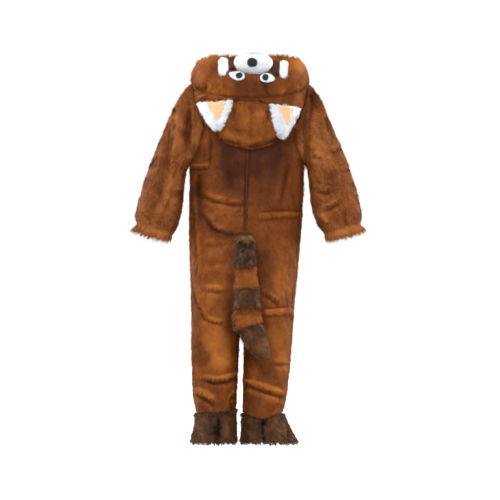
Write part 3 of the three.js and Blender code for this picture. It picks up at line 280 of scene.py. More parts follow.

# Tone of the pile, partly its nap brushed to the light or dark side and partly painted light and shade
# (highlights on ridges, shade in troughs and under folds, the shadows of the hood and the tail): above 0
# lighter, below 0 darker; how far, width and points
NAP_AND_PAINTED_LIGHT = [
    ("suit", BACK, [
        # The first and third rows paint the hood's shadow across the upper back; the second is the dark
        # centre seam
        (-0.9, 80, [(-120, -196), (130, -204)]),
        (-1.0, 5, [(-6, -188), (-10, -300), (-14, -436)]),
        (-0.4, 60, [(-100, -290), (110, -296)]),
        (-0.6, 16, [(-138, -253), (-138, -412)]),
        # Painted shade along the trough of the fold across the lower back
        (-0.5, 13, [(-129, -390), (-82, -434), (-28, -440)]),
        (0.2, 30, [(-99, -352), (-38, -374)]),
        (0.35, 45, [(-121, -473), (-66, -490)]),
        (0.35, 40, [(-121, -569), (-82, -610)]),
        (0.8, 34, [(-110, -679), (-85, -748), (-72, -803)]),
        (-0.2, 24, [(-157, -688), (-148, -748), (-129, -808)]),
        # This row and the next paint shade beneath the ridges of the left leg; the one after paints a
        # highlight along a ridge
        (-0.3, 18, [(-121, -842), (-66, -847)]),
        (-0.5, 17, [(-146, -891), (-113, -902)]),
        (0.35, 12, [(-151, -855), (-121, -869), (-94, -886)]),
        # These two rows paint the tail's shadow on the suit, right and left of it
        (-0.6, 20, [(36, -446), (47, -610)]),
        (-0.5, 13, [(-50, -495), (-55, -679)]),
        (0.3, 40, [(94, -473), (99, -610)]),
        (-0.2, 26, [(-11, -679), (-6, -803)]),
        (-0.35, 28, [(-11, -880), (33, -891)]),
        (0.6, 36, [(84, -670), (90, -817)]),
        # Painted highlight along the ridge across the lower legs
        (0.4, 10, [(-11, -830), (55, -852), (94, -861)]),
        (0.4, 16, [(50, -874), (82, -880)]),
    ]),
    ("sleeve", BACK, [
        (0.5, 13, [(-318, -392), (-268, -410), (-208, -430)]),
        (0.5, 13, [(206, -432), (262, -416), (318, -398)]),
        (0.35, 18, [(-217, -280), (-234, -368)]),
        (0.35, 14, [(-190, -94), (-201, -198)]),
        # Painted shade along the trough beside the left armhole
        (-0.45, 13, [(-173, -74), (-176, -198)]),
        (-0.3, 16, [(-220, -170), (-248, -280), (-270, -377)]),
        # Painted shade along the trough beside the right armhole
        (-0.6, 20, [(168, -19), (184, -94)]),
        (-0.35, 14, [(231, -110), (242, -148)]),
        (-0.35, 26, [(226, -270), (234, -324)]),
        (-0.4, 16, [(280, -374), (300, -388)]),
        (0.35, 16, [(184, -157), (190, -239)]),
        (-0.3, 15, [(220, -374), (239, -396)]),
    ]),
    ("hood", BACK, [
        (0.5, 18, [(-156, 36), (-104, 46)]),
        (0.9, 20, [(108, 44), (152, 30)]),
        # Painted highlight along the hood's lower fold
        (0.8, 14, [(-96, -142), (-60, -164), (0, -180), (60, -166), (100, -140)]),
        (-0.8, 7, [(-55, -78), (-30, -70), (0, -66), (52, -80)]),
        (0.4, 28, [(-146, 0), (-121, -16)]),
        (0.5, 16, [(-104, -41), (-94, -63)]),
        (-0.4, 14, [(-99, 22), (-91, 0)]),
        (-0.5, 28, [(-60, -33), (33, -33), (85, -38)]),
        (0.4, 30, [(113, 30), (146, 0)]),
        (0.25, 18, [(138, -41), (143, -88)]),
        (0.3, 34, [(-33, -138), (38, -143)]),
        (-0.3, 12, [(3, -160), (8, -176)]),
    ]),
    ("shoe", BACK, [
        (1.0, 7, [(-160, -1003), (-90, -1006), (-16, -1003)]),
        # These four rows paint shade in the splits between the pleats
        (-0.8, 7, [(-89, -918), (-87, -1001)]),
        (-0.8, 7, [(-40, -916), (-36, -996)]),
        (-0.9, 8, [(38, -918), (38, -1001)]),
        (-0.6, 6, [(91, -930), (99, -996)]),
        (1.0, 7, [(-8, -1003), (70, -1006), (160, -1002)]),
        (-0.3, 17, [(-140, -935), (-96, -974)]),
        (0.4, 16, [(-69, -935), (-58, -984)]),
        (-0.4, 14, [(-11, -940), (28, -979)]),
        (0.35, 22, [(60, -940), (94, -979)]),
    ]),
    ("tail", BACK, [
        (1.0, 9, [(-44, -436), (18, -436)]),
        (0.35, 24, [(-44, -546), (24, -546)]),
        (0.4, 24, [(-52, -656), (36, -662)]),
        (0.6, 24, [(12, -712), (40, -752)]),
        (-0.5, 8, [(-50, -636), (34, -636)]),
    ]),
    ("suit", FRONT, [
        (-0.4, 50, [(-90, -210), (90, -214)]),
        (0.3, 40, [(-80, -440), (90, -450)]),
        # Painted shade beneath a ridge of the upper front
        (-0.5, 16, [(-120, -346), (-60, -352)]),
        (0.45, 30, [(90, -640), (84, -780)]),
        (-0.4, 24, [(-126, -640), (-120, -780)]),
        # These two rows paint shade beneath the leg ridges, and the next a highlight along one
        (-0.55, 18, [(-120, -850), (-60, -858)]),
        (-0.55, 20, [(14, -872), (80, -880)]),
        (0.35, 14, [(-120, -812), (-50, -822)]),
    ]),
    ("sleeve", FRONT, [
        (0.35, 18, [(-196, -90), (-216, -220)]),
        (-0.4, 18, [(196, -80), (216, -200)]),
        (-0.3, 22, [(-250, -240), (-262, -330)]),
        (0.3, 20, [(236, -240), (262, -340)]),
    ]),
    ("shoe", FRONT, [
        (-0.45, 16, [(-86, -940), (-82, -990)]),
        (0.4, 18, [(-122, -940), (-126, -990)]),
        (0.35, 18, [(60, -940), (60, -990)]),
        (-0.45, 16, [(98, -940), (104, -990)]),
    ]),
]


# Small tools
def smoothstep(value, low, high):
    share = np.clip((value - low) / (high - low), 0, 1)
    return share * share * (3 - 2 * share)


def unit(vectors):
    return vectors / np.maximum(np.linalg.norm(vectors, axis=-1, keepdims=True), 1e-9)


def dot(a, b):
    return (a * b).sum(axis=-1, keepdims=True)


def soft_noise(points, size, seed, waves=9):
    """Smooth uneven values about -1 to 1 over space, with humps about as far apart as size."""
    draw = np.random.default_rng(seed)
    ways = unit(draw.normal(size=(waves, 3))) * (2 * math.pi / size) * draw.uniform(0.6, 1.6, (waves, 1))
    starts = draw.uniform(0, 2 * math.pi, waves)
    return np.cos(points @ ways.T + starts).sum(axis=1) / math.sqrt(waves)


def near_line(flat, line, width):
    """How near points are to a line, from 1 on it to 0 away from it, fading at the line's ends."""
    share = np.zeros(len(flat))
    low = np.min(line, axis=0) - FOLD_SPREAD * width
    high = np.max(line, axis=0) + FOLD_SPREAD * width
    close = np.flatnonzero(((flat > low) & (flat < high)).all(axis=1))
    spots = flat[close]
    best = np.full(len(close), np.inf)
    along = np.zeros(len(close))
    for i, (start, end) in enumerate(zip(line[:-1], line[1:])):
        a, b = np.array(start, float), np.array(end, float)
        step = np.clip(((spots - a) @ (b - a)) / ((b - a) @ (b - a)), 0, 1)
        away = np.linalg.norm(spots - a - step[:, None] * (b - a), axis=1)
        nearer = away < best
        best = np.where(nearer, away, best)
        along = np.where(nearer, (i + step) / (len(line) - 1), along)
    ends = END_FADE + (1 - END_FADE) * smoothstep(np.minimum(along, 1 - along), 0, END_FADE)
    share[close] = ends * np.exp(-((best / width) ** 2))
    return share


def fold_heights(points, facing, pile):
    """Height of the folds and of the cloth's slight unevenness, in metres."""
    flat = points[:, [0, 2]] / MM
    total = sum(height * soft_noise(points, size, seed) for height, size, seed in UNEVEN)
    for piles, side, rows in FOLDS:
        if pile not in piles:
            continue
        faced = smoothstep(side * facing, *FOLD_FACING)
        for height, width, under, line in rows:
            total += height * faced * near_line(flat, line, width)
            if under:
                beside = [(x + under[0], z + under[1]) for x, z in line]
                total -= TROUGH_DEPTH * height * faced * near_line(flat, beside, width)
    return total * MM


def brushed(points, facing, pile):
    """How far the pile is turned to its lighter side, from 0 through 0.5 to 1: its nap tone with painted
    light and shade.
    """
    flat = points[:, [0, 2]] / MM
    total = np.zeros(len(points))
    for piles, side, rows in NAP_AND_PAINTED_LIGHT:
        if pile == piles:
            faced = smoothstep(side * facing, *NAP_AND_LIGHT_FACING)
            for tone, width, line in rows:
                total += tone * faced * near_line(flat, line, width)
    return np.clip(0.5 + 0.5 * total, 0, 1)


def nap_ways(kind, points, normals):
    """Which way the pile lies at each point, before it is laid into the surface."""
    x, y, z = normals.T
    if kind == "to_rim":
        return np.stack([0 * x, z, -y], axis=1)
    if kind == "outward":
        return points - points.mean(axis=0)
    if kind == "fan":
        top = points[points[:, 2] > np.quantile(points[:, 2], 0.8)].mean(axis=0)
        return points - top
    return np.broadcast_to(np.array(NAPS[kind], float), points.shape)


# Shader groups and finishes
def colour(red, green, blue):
    def linear(value):
        share = value / 255
        return share / 12.92 if share <= 0.04045 else ((share + 0.055) / 1.055) ** 2.4

    return (linear(red), linear(green), linear(blue), 1)


def new_group(name, inputs, outputs):
    group = bpy.data.node_groups.new(name, "ShaderNodeTree")
    for label, kind, start in inputs:
        socket = group.interface.new_socket(label, in_out="INPUT", socket_type=kind)
        socket.default_value = start
    for label, kind in outputs:
        group.interface.new_socket(label, in_out="OUTPUT", socket_type=kind)
    return group, group.nodes.new("NodeGroupInput"), group.nodes.new("NodeGroupOutput")


def add_node(tree, kind, links=None, **settings):
    node = tree.nodes.new(kind)
    for key, value in settings.items():
        setattr(node, key, value)
    for socket, value in (links or {}).items():
        if isinstance(value, bpy.types.NodeSocket):
            tree.links.new(value, node.inputs[socket])
        else:
            node.inputs[socket].default_value = value
    return node


def math_node(tree, operation, *values, clamp=False):
    links = dict(enumerate(values))
    return add_node(tree, "ShaderNodeMath", links, operation=operation, use_clamp=clamp).outputs[0]


def mix_colour(tree, share, first, second, blend="MIX"):
    node = tree.nodes.new("ShaderNodeMix")
    node.data_type = "RGBA"
    node.blend_type = blend
    for socket, value in ((0, share), (6, first), (7, second)):
        if isinstance(value, bpy.types.NodeSocket):
            tree.links.new(value, node.inputs[socket])
        else:
            node.inputs[socket].default_value = value
    return node.outputs[2]


def patches_group():
    """Broad soft patches and fine speckle over the cloth, as two masks."""
    floats = [("Size", "NodeSocketFloat", 20.0), ("Speckle", "NodeSocketFloat", 160.0)]
    group, given, made = new_group(
        "cloth patches", floats, [("Patch", "NodeSocketFloat"), ("Speckle", "NodeSocketFloat")]
    )
    place = add_node(group, "ShaderNodeTexCoord").outputs["Object"]
    for label, detail, rough in (("Size", 3.0, 0.6), ("Speckle", 2.0, 0.7)):
        links = {"Vector": place, "Scale": given.outputs[label], "Detail": detail, "Roughness": rough}
        noise = add_node(group, "ShaderNodeTexNoise", links).outputs["Fac"]
        wide = add_node(group, "ShaderNodeMapRange", {"Value": noise, "From Min": 0.3, "From Max": 0.7})
        group.links.new(wide.outputs[0], made.inputs["Patch" if label == "Size" else "Speckle"])
    return group


def pile_group(patches):
    """Colour of a blade from root to tip, lighter or darker by its nap tone with painted highlight and shade,
    and in broad patches.
    """
    inputs = [
        ("Root", "NodeSocketColor", (0, 0, 0, 1)),
        ("Body", "NodeSocketColor", (0, 0, 0, 1)),
        ("Light", "NodeSocketColor", (0, 0, 0, 1)),
        ("Dark", "NodeSocketColor", (0, 0, 0, 1)),
        ("Frost", "NodeSocketFloat", 0.5),
        ("Patchy", "NodeSocketFloat", 0.3),
        ("Size", "NodeSocketFloat", 20.0),
    ]
    group, given, made = new_group("pile colour", inputs, [("Colour", "NodeSocketColor")])
    tip = add_node(group, "ShaderNodeAttribute", attribute_name="tip").outputs["Fac"]
    strand = add_node(group, "ShaderNodeAttribute", attribute_name="strand").outputs["Fac"]
    brush = add_node(group, "ShaderNodeAttribute", attribute_name="brushed").outputs["Fac"]
    spots = add_node(group, "ShaderNodeGroup", node_tree=patches)
    group.links.new(given.outputs["Size"], spots.inputs["Size"])
    body_share = math_node(group, "MULTIPLY", tip, 1.8, clamp=True)
    shade = mix_colour(group, body_share, given.outputs["Root"], given.outputs["Body"])
    frosted = math_node(group, "MULTIPLY", math_node(group, "POWER", tip, 2.0), strand)
    frosted = math_node(group, "MULTIPLY", frosted, given.outputs["Frost"], clamp=True)
    shade = mix_colour(group, frosted, shade, given.outputs["Light"])
    centred = math_node(group, "SUBTRACT", spots.outputs["Patch"], 0.5)
    uneven = math_node(group, "MULTIPLY", centred, given.outputs["Patchy"])
    # The tone paints highlight and shade: above the middle the colour turns towards Light, below it towards
    # Dark, from the nap tone with its painted light and shade and from the random patches
    turned = math_node(group, "MULTIPLY_ADD", brush, 2.0, math_node(group, "SUBTRACT", uneven, 1.0))
    up = math_node(group, "MULTIPLY", turned, 0.75, clamp=True)
    down = math_node(group, "MULTIPLY", turned, -1.1, clamp=True)
    shade = mix_colour(group, up, shade, given.outputs["Light"])
    shade = mix_colour(group, down, shade, given.outputs["Dark"])
    light = math_node(group, "MULTIPLY_ADD", strand, 0.2, 0.9)
    grey = add_node(group, "ShaderNodeCombineColor", {"Red": light, "Green": light, "Blue": light})
    group.links.new(mix_colour(group, 1.0, shade, grey.outputs[0], "MULTIPLY"), made.inputs["Colour"])
    return group


def finish(name, roughness, **constants):
    """A material with its Principled shader, whose even values are set on its own sockets."""
    material = bpy.data.materials.new(name)
    material.use_nodes = True
    shader = material.node_tree.nodes["Principled BSDF"]
    shader.inputs["Roughness"].default_value = roughness
    for label, value in constants.items():
        shader.inputs[label.replace("_", " ")].default_value = value
    return material, material.node_tree, shader


PATCHES = patches_group()
PILE_COLOUR = pile_group(PATCHES)


PLUSH_ROUGHNESS = 0.62
PLUSH_SPECULAR = 0.08
SHEEN_ROUGHNESS = 0.35


def plush(name, shades, frost, patchy, size, sheen, tint):
    """Pile from shades: its colours at the root, in the body, lighter and darker; the lighter and darker ones
    paint highlight and shade as well as the nap's tone.
    """
    values = {"Sheen_Weight": sheen, "Sheen_Tint": colour(*tint), "Sheen_Roughness": SHEEN_ROUGHNESS}
    material, tree, shader = finish(name, PLUSH_ROUGHNESS, **values, Specular_IOR_Level=PLUSH_SPECULAR)
    shade = add_node(tree, "ShaderNodeGroup", node_tree=PILE_COLOUR)
    for label, value in zip(("Root", "Body", "Light", "Dark"), shades):
        shade.inputs[label].default_value = colour(*value)
    for label, value in (("Frost", frost), ("Patchy", patchy), ("Size", size)):
        shade.inputs[label].default_value = value
    tree.links.new(shade.outputs[0], shader.inputs["Base Color"])
    return material


def knit_backing():
    """The knitted ground of the plush, seen inside neck, cuffs and hems."""
    material, tree, shader = finish("knit backing", 0.9, Specular_IOR_Level=0.1)
    spots = add_node(tree, "ShaderNodeGroup", node_tree=PATCHES)
    spots.inputs["Size"].default_value = 26.0
    place = add_node(tree, "ShaderNodeTexCoord").outputs["Object"]
    rows = add_node(
        tree, "ShaderNodeTexWave", {"Vector": place, "Scale": 130.0, "Distortion": 1.5}, bands_direction="Z"
    )
    shade = mix_colour(tree, spots.outputs["Patch"], colour(104, 66, 40), colour(128, 84, 52))
    shade = mix_colour(tree, rows.outputs["Fac"], shade, colour(92, 56, 34))
    bump = add_node(
        tree, "ShaderNodeBump", {"Height": rows.outputs["Fac"], "Strength": 0.5, "Distance": 0.0006}
    )
    tree.links.new(shade, shader.inputs["Base Color"])
    tree.links.new(bump.outputs[0], shader.inputs["Normal"])
    return material


def peach_felt():
    material, tree, shader = finish(
        "peach felt", 0.85, Sheen_Weight=0.4, Sheen_Tint=colour(255, 226, 190), Specular_IOR_Level=0.15
    )
    spots = add_node(tree, "ShaderNodeGroup", node_tree=PATCHES)
    spots.inputs["Size"].default_value = 55.0
    spots.inputs["Speckle"].default_value = 900.0
    shade = mix_colour(tree, spots.outputs["Patch"], colour(228, 164, 112), colour(236, 180, 132))
    faint = math_node(tree, "MULTIPLY", spots.outputs["Speckle"], 0.4)
    shade = mix_colour(tree, faint, shade, colour(244, 200, 154))
    bump = add_node(
        tree, "ShaderNodeBump", {"Height": spots.outputs["Speckle"], "Strength": 0.5, "Distance": 0.0004}
    )
    tree.links.new(shade, shader.inputs["Base Color"])
    tree.links.new(bump.outputs[0], shader.inputs["Normal"])
    return material


def horn_button():
    material, tree, shader = finish("horn plastic", 0.3, Coat_Weight=0.4, Coat_Roughness=0.15)
    place = add_node(tree, "ShaderNodeTexCoord").outputs["Object"]
    links = {"Vector": place, "Scale": 90.0, "Detail": 4.0, "Distortion": 2.2}
    streaks = add_node(tree, "ShaderNodeTexNoise", links)
    shade = mix_colour(tree, streaks.outputs["Fac"], colour(44, 26, 16), colour(122, 78, 44))
    tree.links.new(shade, shader.inputs["Base Color"])
    return material


def sewing_thread():
    material, tree, shader = finish("sewing thread", 0.7, Sheen_Weight=0.3)
    place = add_node(tree, "ShaderNodeTexCoord").outputs["Object"]
    twist = add_node(tree, "ShaderNodeTexWave", {"Vector": place, "Scale": 700.0}, bands_direction="DIAGONAL")
    shade = mix_colour(tree, twist.outputs["Fac"], colour(70, 38, 20), colour(112, 66, 36))
    tree.links.new(shade, shader.inputs["Base Color"])
    return material


# Each finish's shades: root, body, light and dark; the light and dark ones also paint the highlights and
# shade of the folds and of the tone table
RUST_SHADES = (90, 42, 16), (114, 58, 22), (196, 118, 48), (66, 32, 15)
CURLED_SHADES = (88, 43, 18), (120, 62, 26), (196, 126, 66), (64, 29, 12)
BARK_SHADES = (36, 23, 16), (74, 47, 31), (138, 94, 60), (34, 21, 14)
FROSTED_SHADES = (26, 17, 12), (48, 31, 21), (166, 120, 76), (24, 16, 11)
WHITE_SHADES = (214, 221, 226), (230, 235, 239), (250, 252, 253), (200, 208, 215)
PALE_SHADES = (232, 237, 242), (243, 246, 250), (252, 254, 255), (216, 224, 232)
INK_SHADES = (16, 20, 24), (40, 48, 54), (104, 114, 122), (18, 22, 26)
LOOKS = {
    "rust": plush("rust plush", RUST_SHADES, 0.3, 0.5, 15.0, 0.3, (255, 146, 56)),
    "curled": plush("curled rust plush", CURLED_SHADES, 0.7, 0.5, 26.0, 0.3, (255, 154, 72)),
    "bark": plush("dark brown plush", BARK_SHADES, 0.4, 0.7, 34.0, 0.25, (235, 176, 120)),
    "frosted": plush("frosted brown plush", FROSTED_SHADES, 0.35, 0.8, 60.0, 0.2, (235, 180, 128)),
    "white": plush("white plush", WHITE_SHADES, 0.8, 0.2, 30.0, 0.4, (255, 255, 255)),
    "pale": plush("pale grey plush", PALE_SHADES, 0.5, 0.15, 24.0, 0.3, (240, 246, 255)),
    "ink": plush("black plush", INK_SHADES, 0.4, 0.4, 60.0, 0.5, (200, 215, 235)),
    "backing": knit_backing(),
    "felt": peach_felt(),
    "horn": horn_button(),
    "thread": sewing_thread(),
}


# Cloth shells
JOIN_WITHIN = 0.01 * MM
PILE_SIDE, BACKING_SIDE, CUT_EDGE = 0, 1, 2
SHARP = math.radians(50)  # a turn in the mesh that parts a wall's side from its cut edge
JUST_INSIDE = 0.05 * MM
WALL_REACH = 1.8  # the other side of a wall is looked for within this many thicknesses
OPPOSED = -0.6  # how far the normals of a wall's two sides point against each other
SQUARE_FLAT = math.radians(50)  # triangles within these join into a square
SQUARE_SKEW = math.radians(60)
CREASED = math.radians(70)
EDGE_STEPS = 5


def node_mesh(node):
    mesh = bmesh.new()
    mesh.from_mesh(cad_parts[node].data)
    bmesh.ops.remove_doubles(mesh, verts=mesh.verts, dist=JOIN_WITHIN)
    mesh.normal_update()
    return mesh


def mark_sides(mesh, wall):
    """Marks each face as pile side, backing side or cut edge, the larger side being the pile side."""
    tree = BVHTree.FromBMesh(mesh)
    for face in mesh.faces:
        start = face.calc_center_median() - face.normal * JUST_INSIDE
        _, across, _, _ = tree.ray_cast(start, -face.normal, WALL_REACH * wall * MM)
        face.material_index = CUT_EDGE
        face.tag = across is not None and across.dot(face.normal) < OPPOSED
    regions = []
    waiting = {face for face in mesh.faces if face.tag}
    while waiting:
        region, reach = set(), [waiting.pop()]
        while reach:
            face = reach.pop()
            region.add(face)
            for edge in face.edges:
                if edge.calc_face_angle(0) > SHARP:
                    continue
                for other in edge.link_faces:
                    if other in waiting:
                        waiting.discard(other)
                        reach.append(other)
        regions.append(region)
    regions.sort(key=lambda region: -sum(face.calc_area() for face in region))
    for kind, region in zip((PILE_SIDE, BACKING_SIDE), regions):
        for face in region:
            face.material_index = kind


def refined(mesh, name, levels):
    """The mesh in squares, rounded by subdivision with its cut edges kept."""
    bmesh.ops.join_triangles(
        mesh,
        faces=mesh.faces,
        angle_face_threshold=SQUARE_FLAT,
        angle_shape_threshold=SQUARE_SKEW,
    )
    keep = mesh.edges.layers.float.new("crease_edge")
    for edge in mesh.edges:
        kinds = {face.material_index == CUT_EDGE for face in edge.link_faces}
        turn = edge.calc_face_angle(0)
        if len(kinds) == 2 or turn > CREASED:
            edge[keep] = 1.0
    data = bpy.data.meshes.new(name)
    mesh.to_mesh(data)
    mesh.free()
    rough = bpy.data.objects.new(name, data)
    bpy.context.collection.objects.link(rough)
    rounding = rough.modifiers.new("rounding", "SUBSURF")
    rounding.levels = levels
    rounding.render_levels = levels
    fine = bpy.data.meshes.new_from_object(rough.evaluated_get(bpy.context.evaluated_depsgraph_get()))
    bpy.data.objects.remove(rough)
    fine.name = name
    return fine


def vertex_array(mesh, field="co"):
    source = mesh.vertices if field == "co" else mesh.vertex_normals
    values = np.empty(3 * len(mesh.vertices))
    source.foreach_get("co" if field == "co" else "vector", values)
    return values.reshape(-1, 3)


def face_arrays(mesh):
    """Triangles of the mesh with the material index of each."""
    mesh.calc_loop_triangles()
    corners = np.empty(3 * len(mesh.loop_triangles), dtype=np.int64)
    mesh.loop_triangles.foreach_get("vertices", corners)
    kinds = np.empty(len(mesh.loop_triangles), dtype=np.int64)
    mesh.loop_triangles.foreach_get("material_index", kinds)
    return corners.reshape(-1, 3), kinds


def new_piece(name, mesh, looks):
    """A piece with its finishes, riding on the suit."""
    piece = bpy.data.objects.new(name, mesh)
    bpy.context.collection.objects.link(piece)
    kinds = np.empty(len(mesh.polygons), dtype=np.int32)
    mesh.polygons.foreach_get("material_index", kinds)
    mesh.materials.clear()
    for look in looks:
        mesh.materials.append(LOOKS[look])
    mesh.polygons.foreach_set("material_index", np.minimum(kinds, len(looks) - 1))
    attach(piece, "root")
    return piece


def tree_of(points):
    tree = KDTree(len(points))
    for i, point in enumerate(points):
        tree.insert(point, i)
    tree.balance()
    return tree


def distances(points, tree):
    return np.array([tree.find(point)[2] for point in points])


def nearest(points, tree):
    """Distance to the nearest point of a tree, and the direction away from it."""
    found = [tree.find(point) for point in points]
    away = points - np.array([place for place, _, _ in found])
    return np.array([distance for _, _, distance in found]), unit(away)


def along_edges(mesh, points, border):
    """Points close together along the edges that join border vertices."""
    ends = np.empty(2 * len(mesh.edges), dtype=np.int64)
    mesh.edges.foreach_get("vertices", ends)
    ends = ends.reshape(-1, 2)
    on_border = np.zeros(len(points), dtype=bool)
    on_border[border] = True
    ends = ends[on_border[ends].all(axis=1)]
    share = np.linspace(0, 1 - 1 / EDGE_STEPS, EDGE_STEPS)[None, :, None]
    return (points[ends[:, 0]][:, None] * (1 - share) + points[ends[:, 1]][:, None] * share).reshape(-1, 3)


shells = {}


def start_shell(node, wall, levels):
    mesh = node_mesh(node)
    if wall:
        mark_sides(mesh, wall)
    fine = refined(mesh, f"{node}_cloth", levels)
    points, normals = vertex_array(fine), vertex_array(fine, "normal")
    corners, kinds = face_arrays(fine)
    side = np.zeros(len(points), dtype=bool)
    edge = np.zeros(len(points), dtype=bool)
    backing = np.zeros(len(points), dtype=bool)
    side[corners[kinds == PILE_SIDE].ravel()] = True
    backing[corners[kinds == BACKING_SIDE].ravel()] = True
    edge[corners[kinds == CUT_EDGE].ravel()] = True
    shells[node] = {
        "mesh": fine,
        "points": points,
        "smooth": normals,
        "pile": side,
        "backing": backing,
        "border": along_edges(fine, points, np.flatnonzero(side & edge)),
    }


SEAM_WIDTH = 4 * MM
SEAM_DEPTH = 0.5 * MM
SHELL_TIP = 0.1  # the shell has nearly the colour of the pile's roots
SHELL_STRAND = 0.5


def set_values(mesh, **values):
    for label, numbers in values.items():
        mesh.attributes.new(label, "FLOAT", "POINT").data.foreach_set("value", numbers)


def shape_shell(node, pile, sewn):
    """Sinks the pile side under its pile, presses it in at sewn seams and folds the whole wall."""
    shell = shells[node]
    points, normals, mesh = shell["points"], shell["smooth"], shell["mesh"]
    count = len(points)
    near_seam = np.exp(-((distances(points, sewn) / SEAM_WIDTH) ** 2)) if sewn else np.zeros(count)
    outward = np.where(shell["backing"], -1.0, 1.0)
    relief = fold_heights(points, outward * normals[:, 1], pile) * (1 - near_seam)
    sunk = PILES[pile]["sink"] * MM + SEAM_DEPTH * near_seam
    moved = points + normals * (outward * relief - np.where(shell["pile"], sunk, 0))[:, None]
    mesh.vertices.foreach_set("co", moved.ravel())
    mesh.update()
    corners, kinds = face_arrays(mesh)
    looks = np.empty(len(mesh.polygons), dtype=np.int32)
    mesh.polygons.foreach_get("material_index", looks)
    looks[looks == CUT_EDGE] = PILE_SIDE
    mesh.polygons.foreach_set("material_index", looks)
    mesh.polygons.foreach_set("use_smooth", np.ones(len(mesh.polygons), dtype=bool))
    tip, strand = np.full(count, SHELL_TIP), np.full(count, SHELL_STRAND)
    # The shell carries the same tone as its pile: nap tone with painted light and shade
    set_values(mesh, tip=tip, strand=strand, brushed=brushed(points, normals[:, 1], pile))
    triangles = corners[kinds == PILE_SIDE]
    shell.update(points=moved, relief=relief, near_seam=near_seam, triangles=triangles, sewn=sewn)


# Pile
# Painted highlight and shade on the folds: how much lighter the pile is coloured where a fold turns it to the
# sky and darker where it turns it down, and how much lighter on a ridge of this height and darker in a trough
# as deep
PAINTED_TILT_LIGHT = 0.36
PAINTED_RIDGE_LIGHT = 0.14
RIDGE_HEIGHT = 9 * MM
SLOPE_STEP = 1.5 * MM  # the folds' slope is taken over this length
TURNED_AWAY = 0.3  # a flat piece grows no pile where it faces the suit by more than this share
# Sizes of the patches in which the pile turns, gathers, stands up and curls, in metres
SWIRL_SIZE, TUFT_SIZE, RAISED_SIZE, PLUMP_SIZE, CURL_SIZE = 0.055, 0.013, 0.04, 0.012, 0.011
STRAY = 9  # degrees by which single blades stray
RAISED, PLUMP = 0.4, 0.3  # how much more or less it stands up in broad and in small patches
LIFT_LIMITS = (0.4, 2.6)
LIFT_RANGE = (0.6, 1.4)
LENGTH_RANGE = (0.7, 1.2)
FREE_EDGE = 12 * MM  # the pile grows longer within about this of a free edge
BLADE_SHINE = 0.22  # how far a blade's own face turns the cloth's normal
BLADE_SPAN = (0.12, 0.88)  # a blade's part of its square in the bake's map


def grow_roots(shell, form, draw, outside_only):
    """Random roots on the pile side, with the cloth's smooth normal, fold height and seam share there."""
    triangles = shell["triangles"]
    if outside_only:
        triangles = triangles[shell["smooth"][triangles].mean(axis=1)[:, 1] < TURNED_AWAY]
    corner = shell["points"][triangles]
    area = np.linalg.norm(np.cross(corner[:, 1] - corner[:, 0], corner[:, 2] - corner[:, 0]), axis=1)
    chosen = triangles[draw.choice(len(triangles), form["blades"], p=area / area.sum())]
    share = draw.dirichlet((1, 1, 1), form["blades"])
    roots, normals = ((shell[key][chosen] * share[:, :, None]).sum(axis=1) for key in ("points", "smooth"))
    relief, near_seam = ((shell[key][chosen] * share).sum(axis=1) for key in ("relief", "near_seam"))
    return roots, unit(normals), relief, near_seam


def lay_on_folds(shell, pile, roots, normals, relief, near_seam, ways, across):
    """Lifts roots onto the folds, turns the normals by the folds' slopes, and gives the folds' painted
    highlight and shade.
    """
    facing = normals[:, 1]
    spots = (roots, roots + SLOPE_STEP * ways, roots + SLOPE_STEP * across)
    heights = [fold_heights(places, facing, pile) for places in spots]
    free_share = (1 - near_seam)[:, None]
    slopes = [(height - heights[0])[:, None] / SLOPE_STEP * free_share for height in heights[1:]]
    roots = roots + normals * np.maximum(heights[0][:, None] * free_share - relief[:, None], 0)
    turned = normals - slopes[0] * ways - slopes[1] * across
    if shell["sewn"]:
        away, direction = nearest(roots, shell["sewn"])
        dip = SEAM_DEPTH * np.exp(-((away / SEAM_WIDTH) ** 2)) * 2 * away / SEAM_WIDTH**2
        turned = turned - dip[:, None] * direction
    turned = unit(turned)
    # Painted highlight and shade: lighter where a fold turns up to the sky or rises as a ridge, darker where
    # it turns down or sinks into a trough
    tilt = PAINTED_TILT_LIGHT * (turned[:, 2] - normals[:, 2])
    ridge = PAINTED_RIDGE_LIGHT * np.clip(heights[0] / RIDGE_HEIGHT, -1, 1) * free_share[:, 0]
    return roots, turned, tilt + ridge


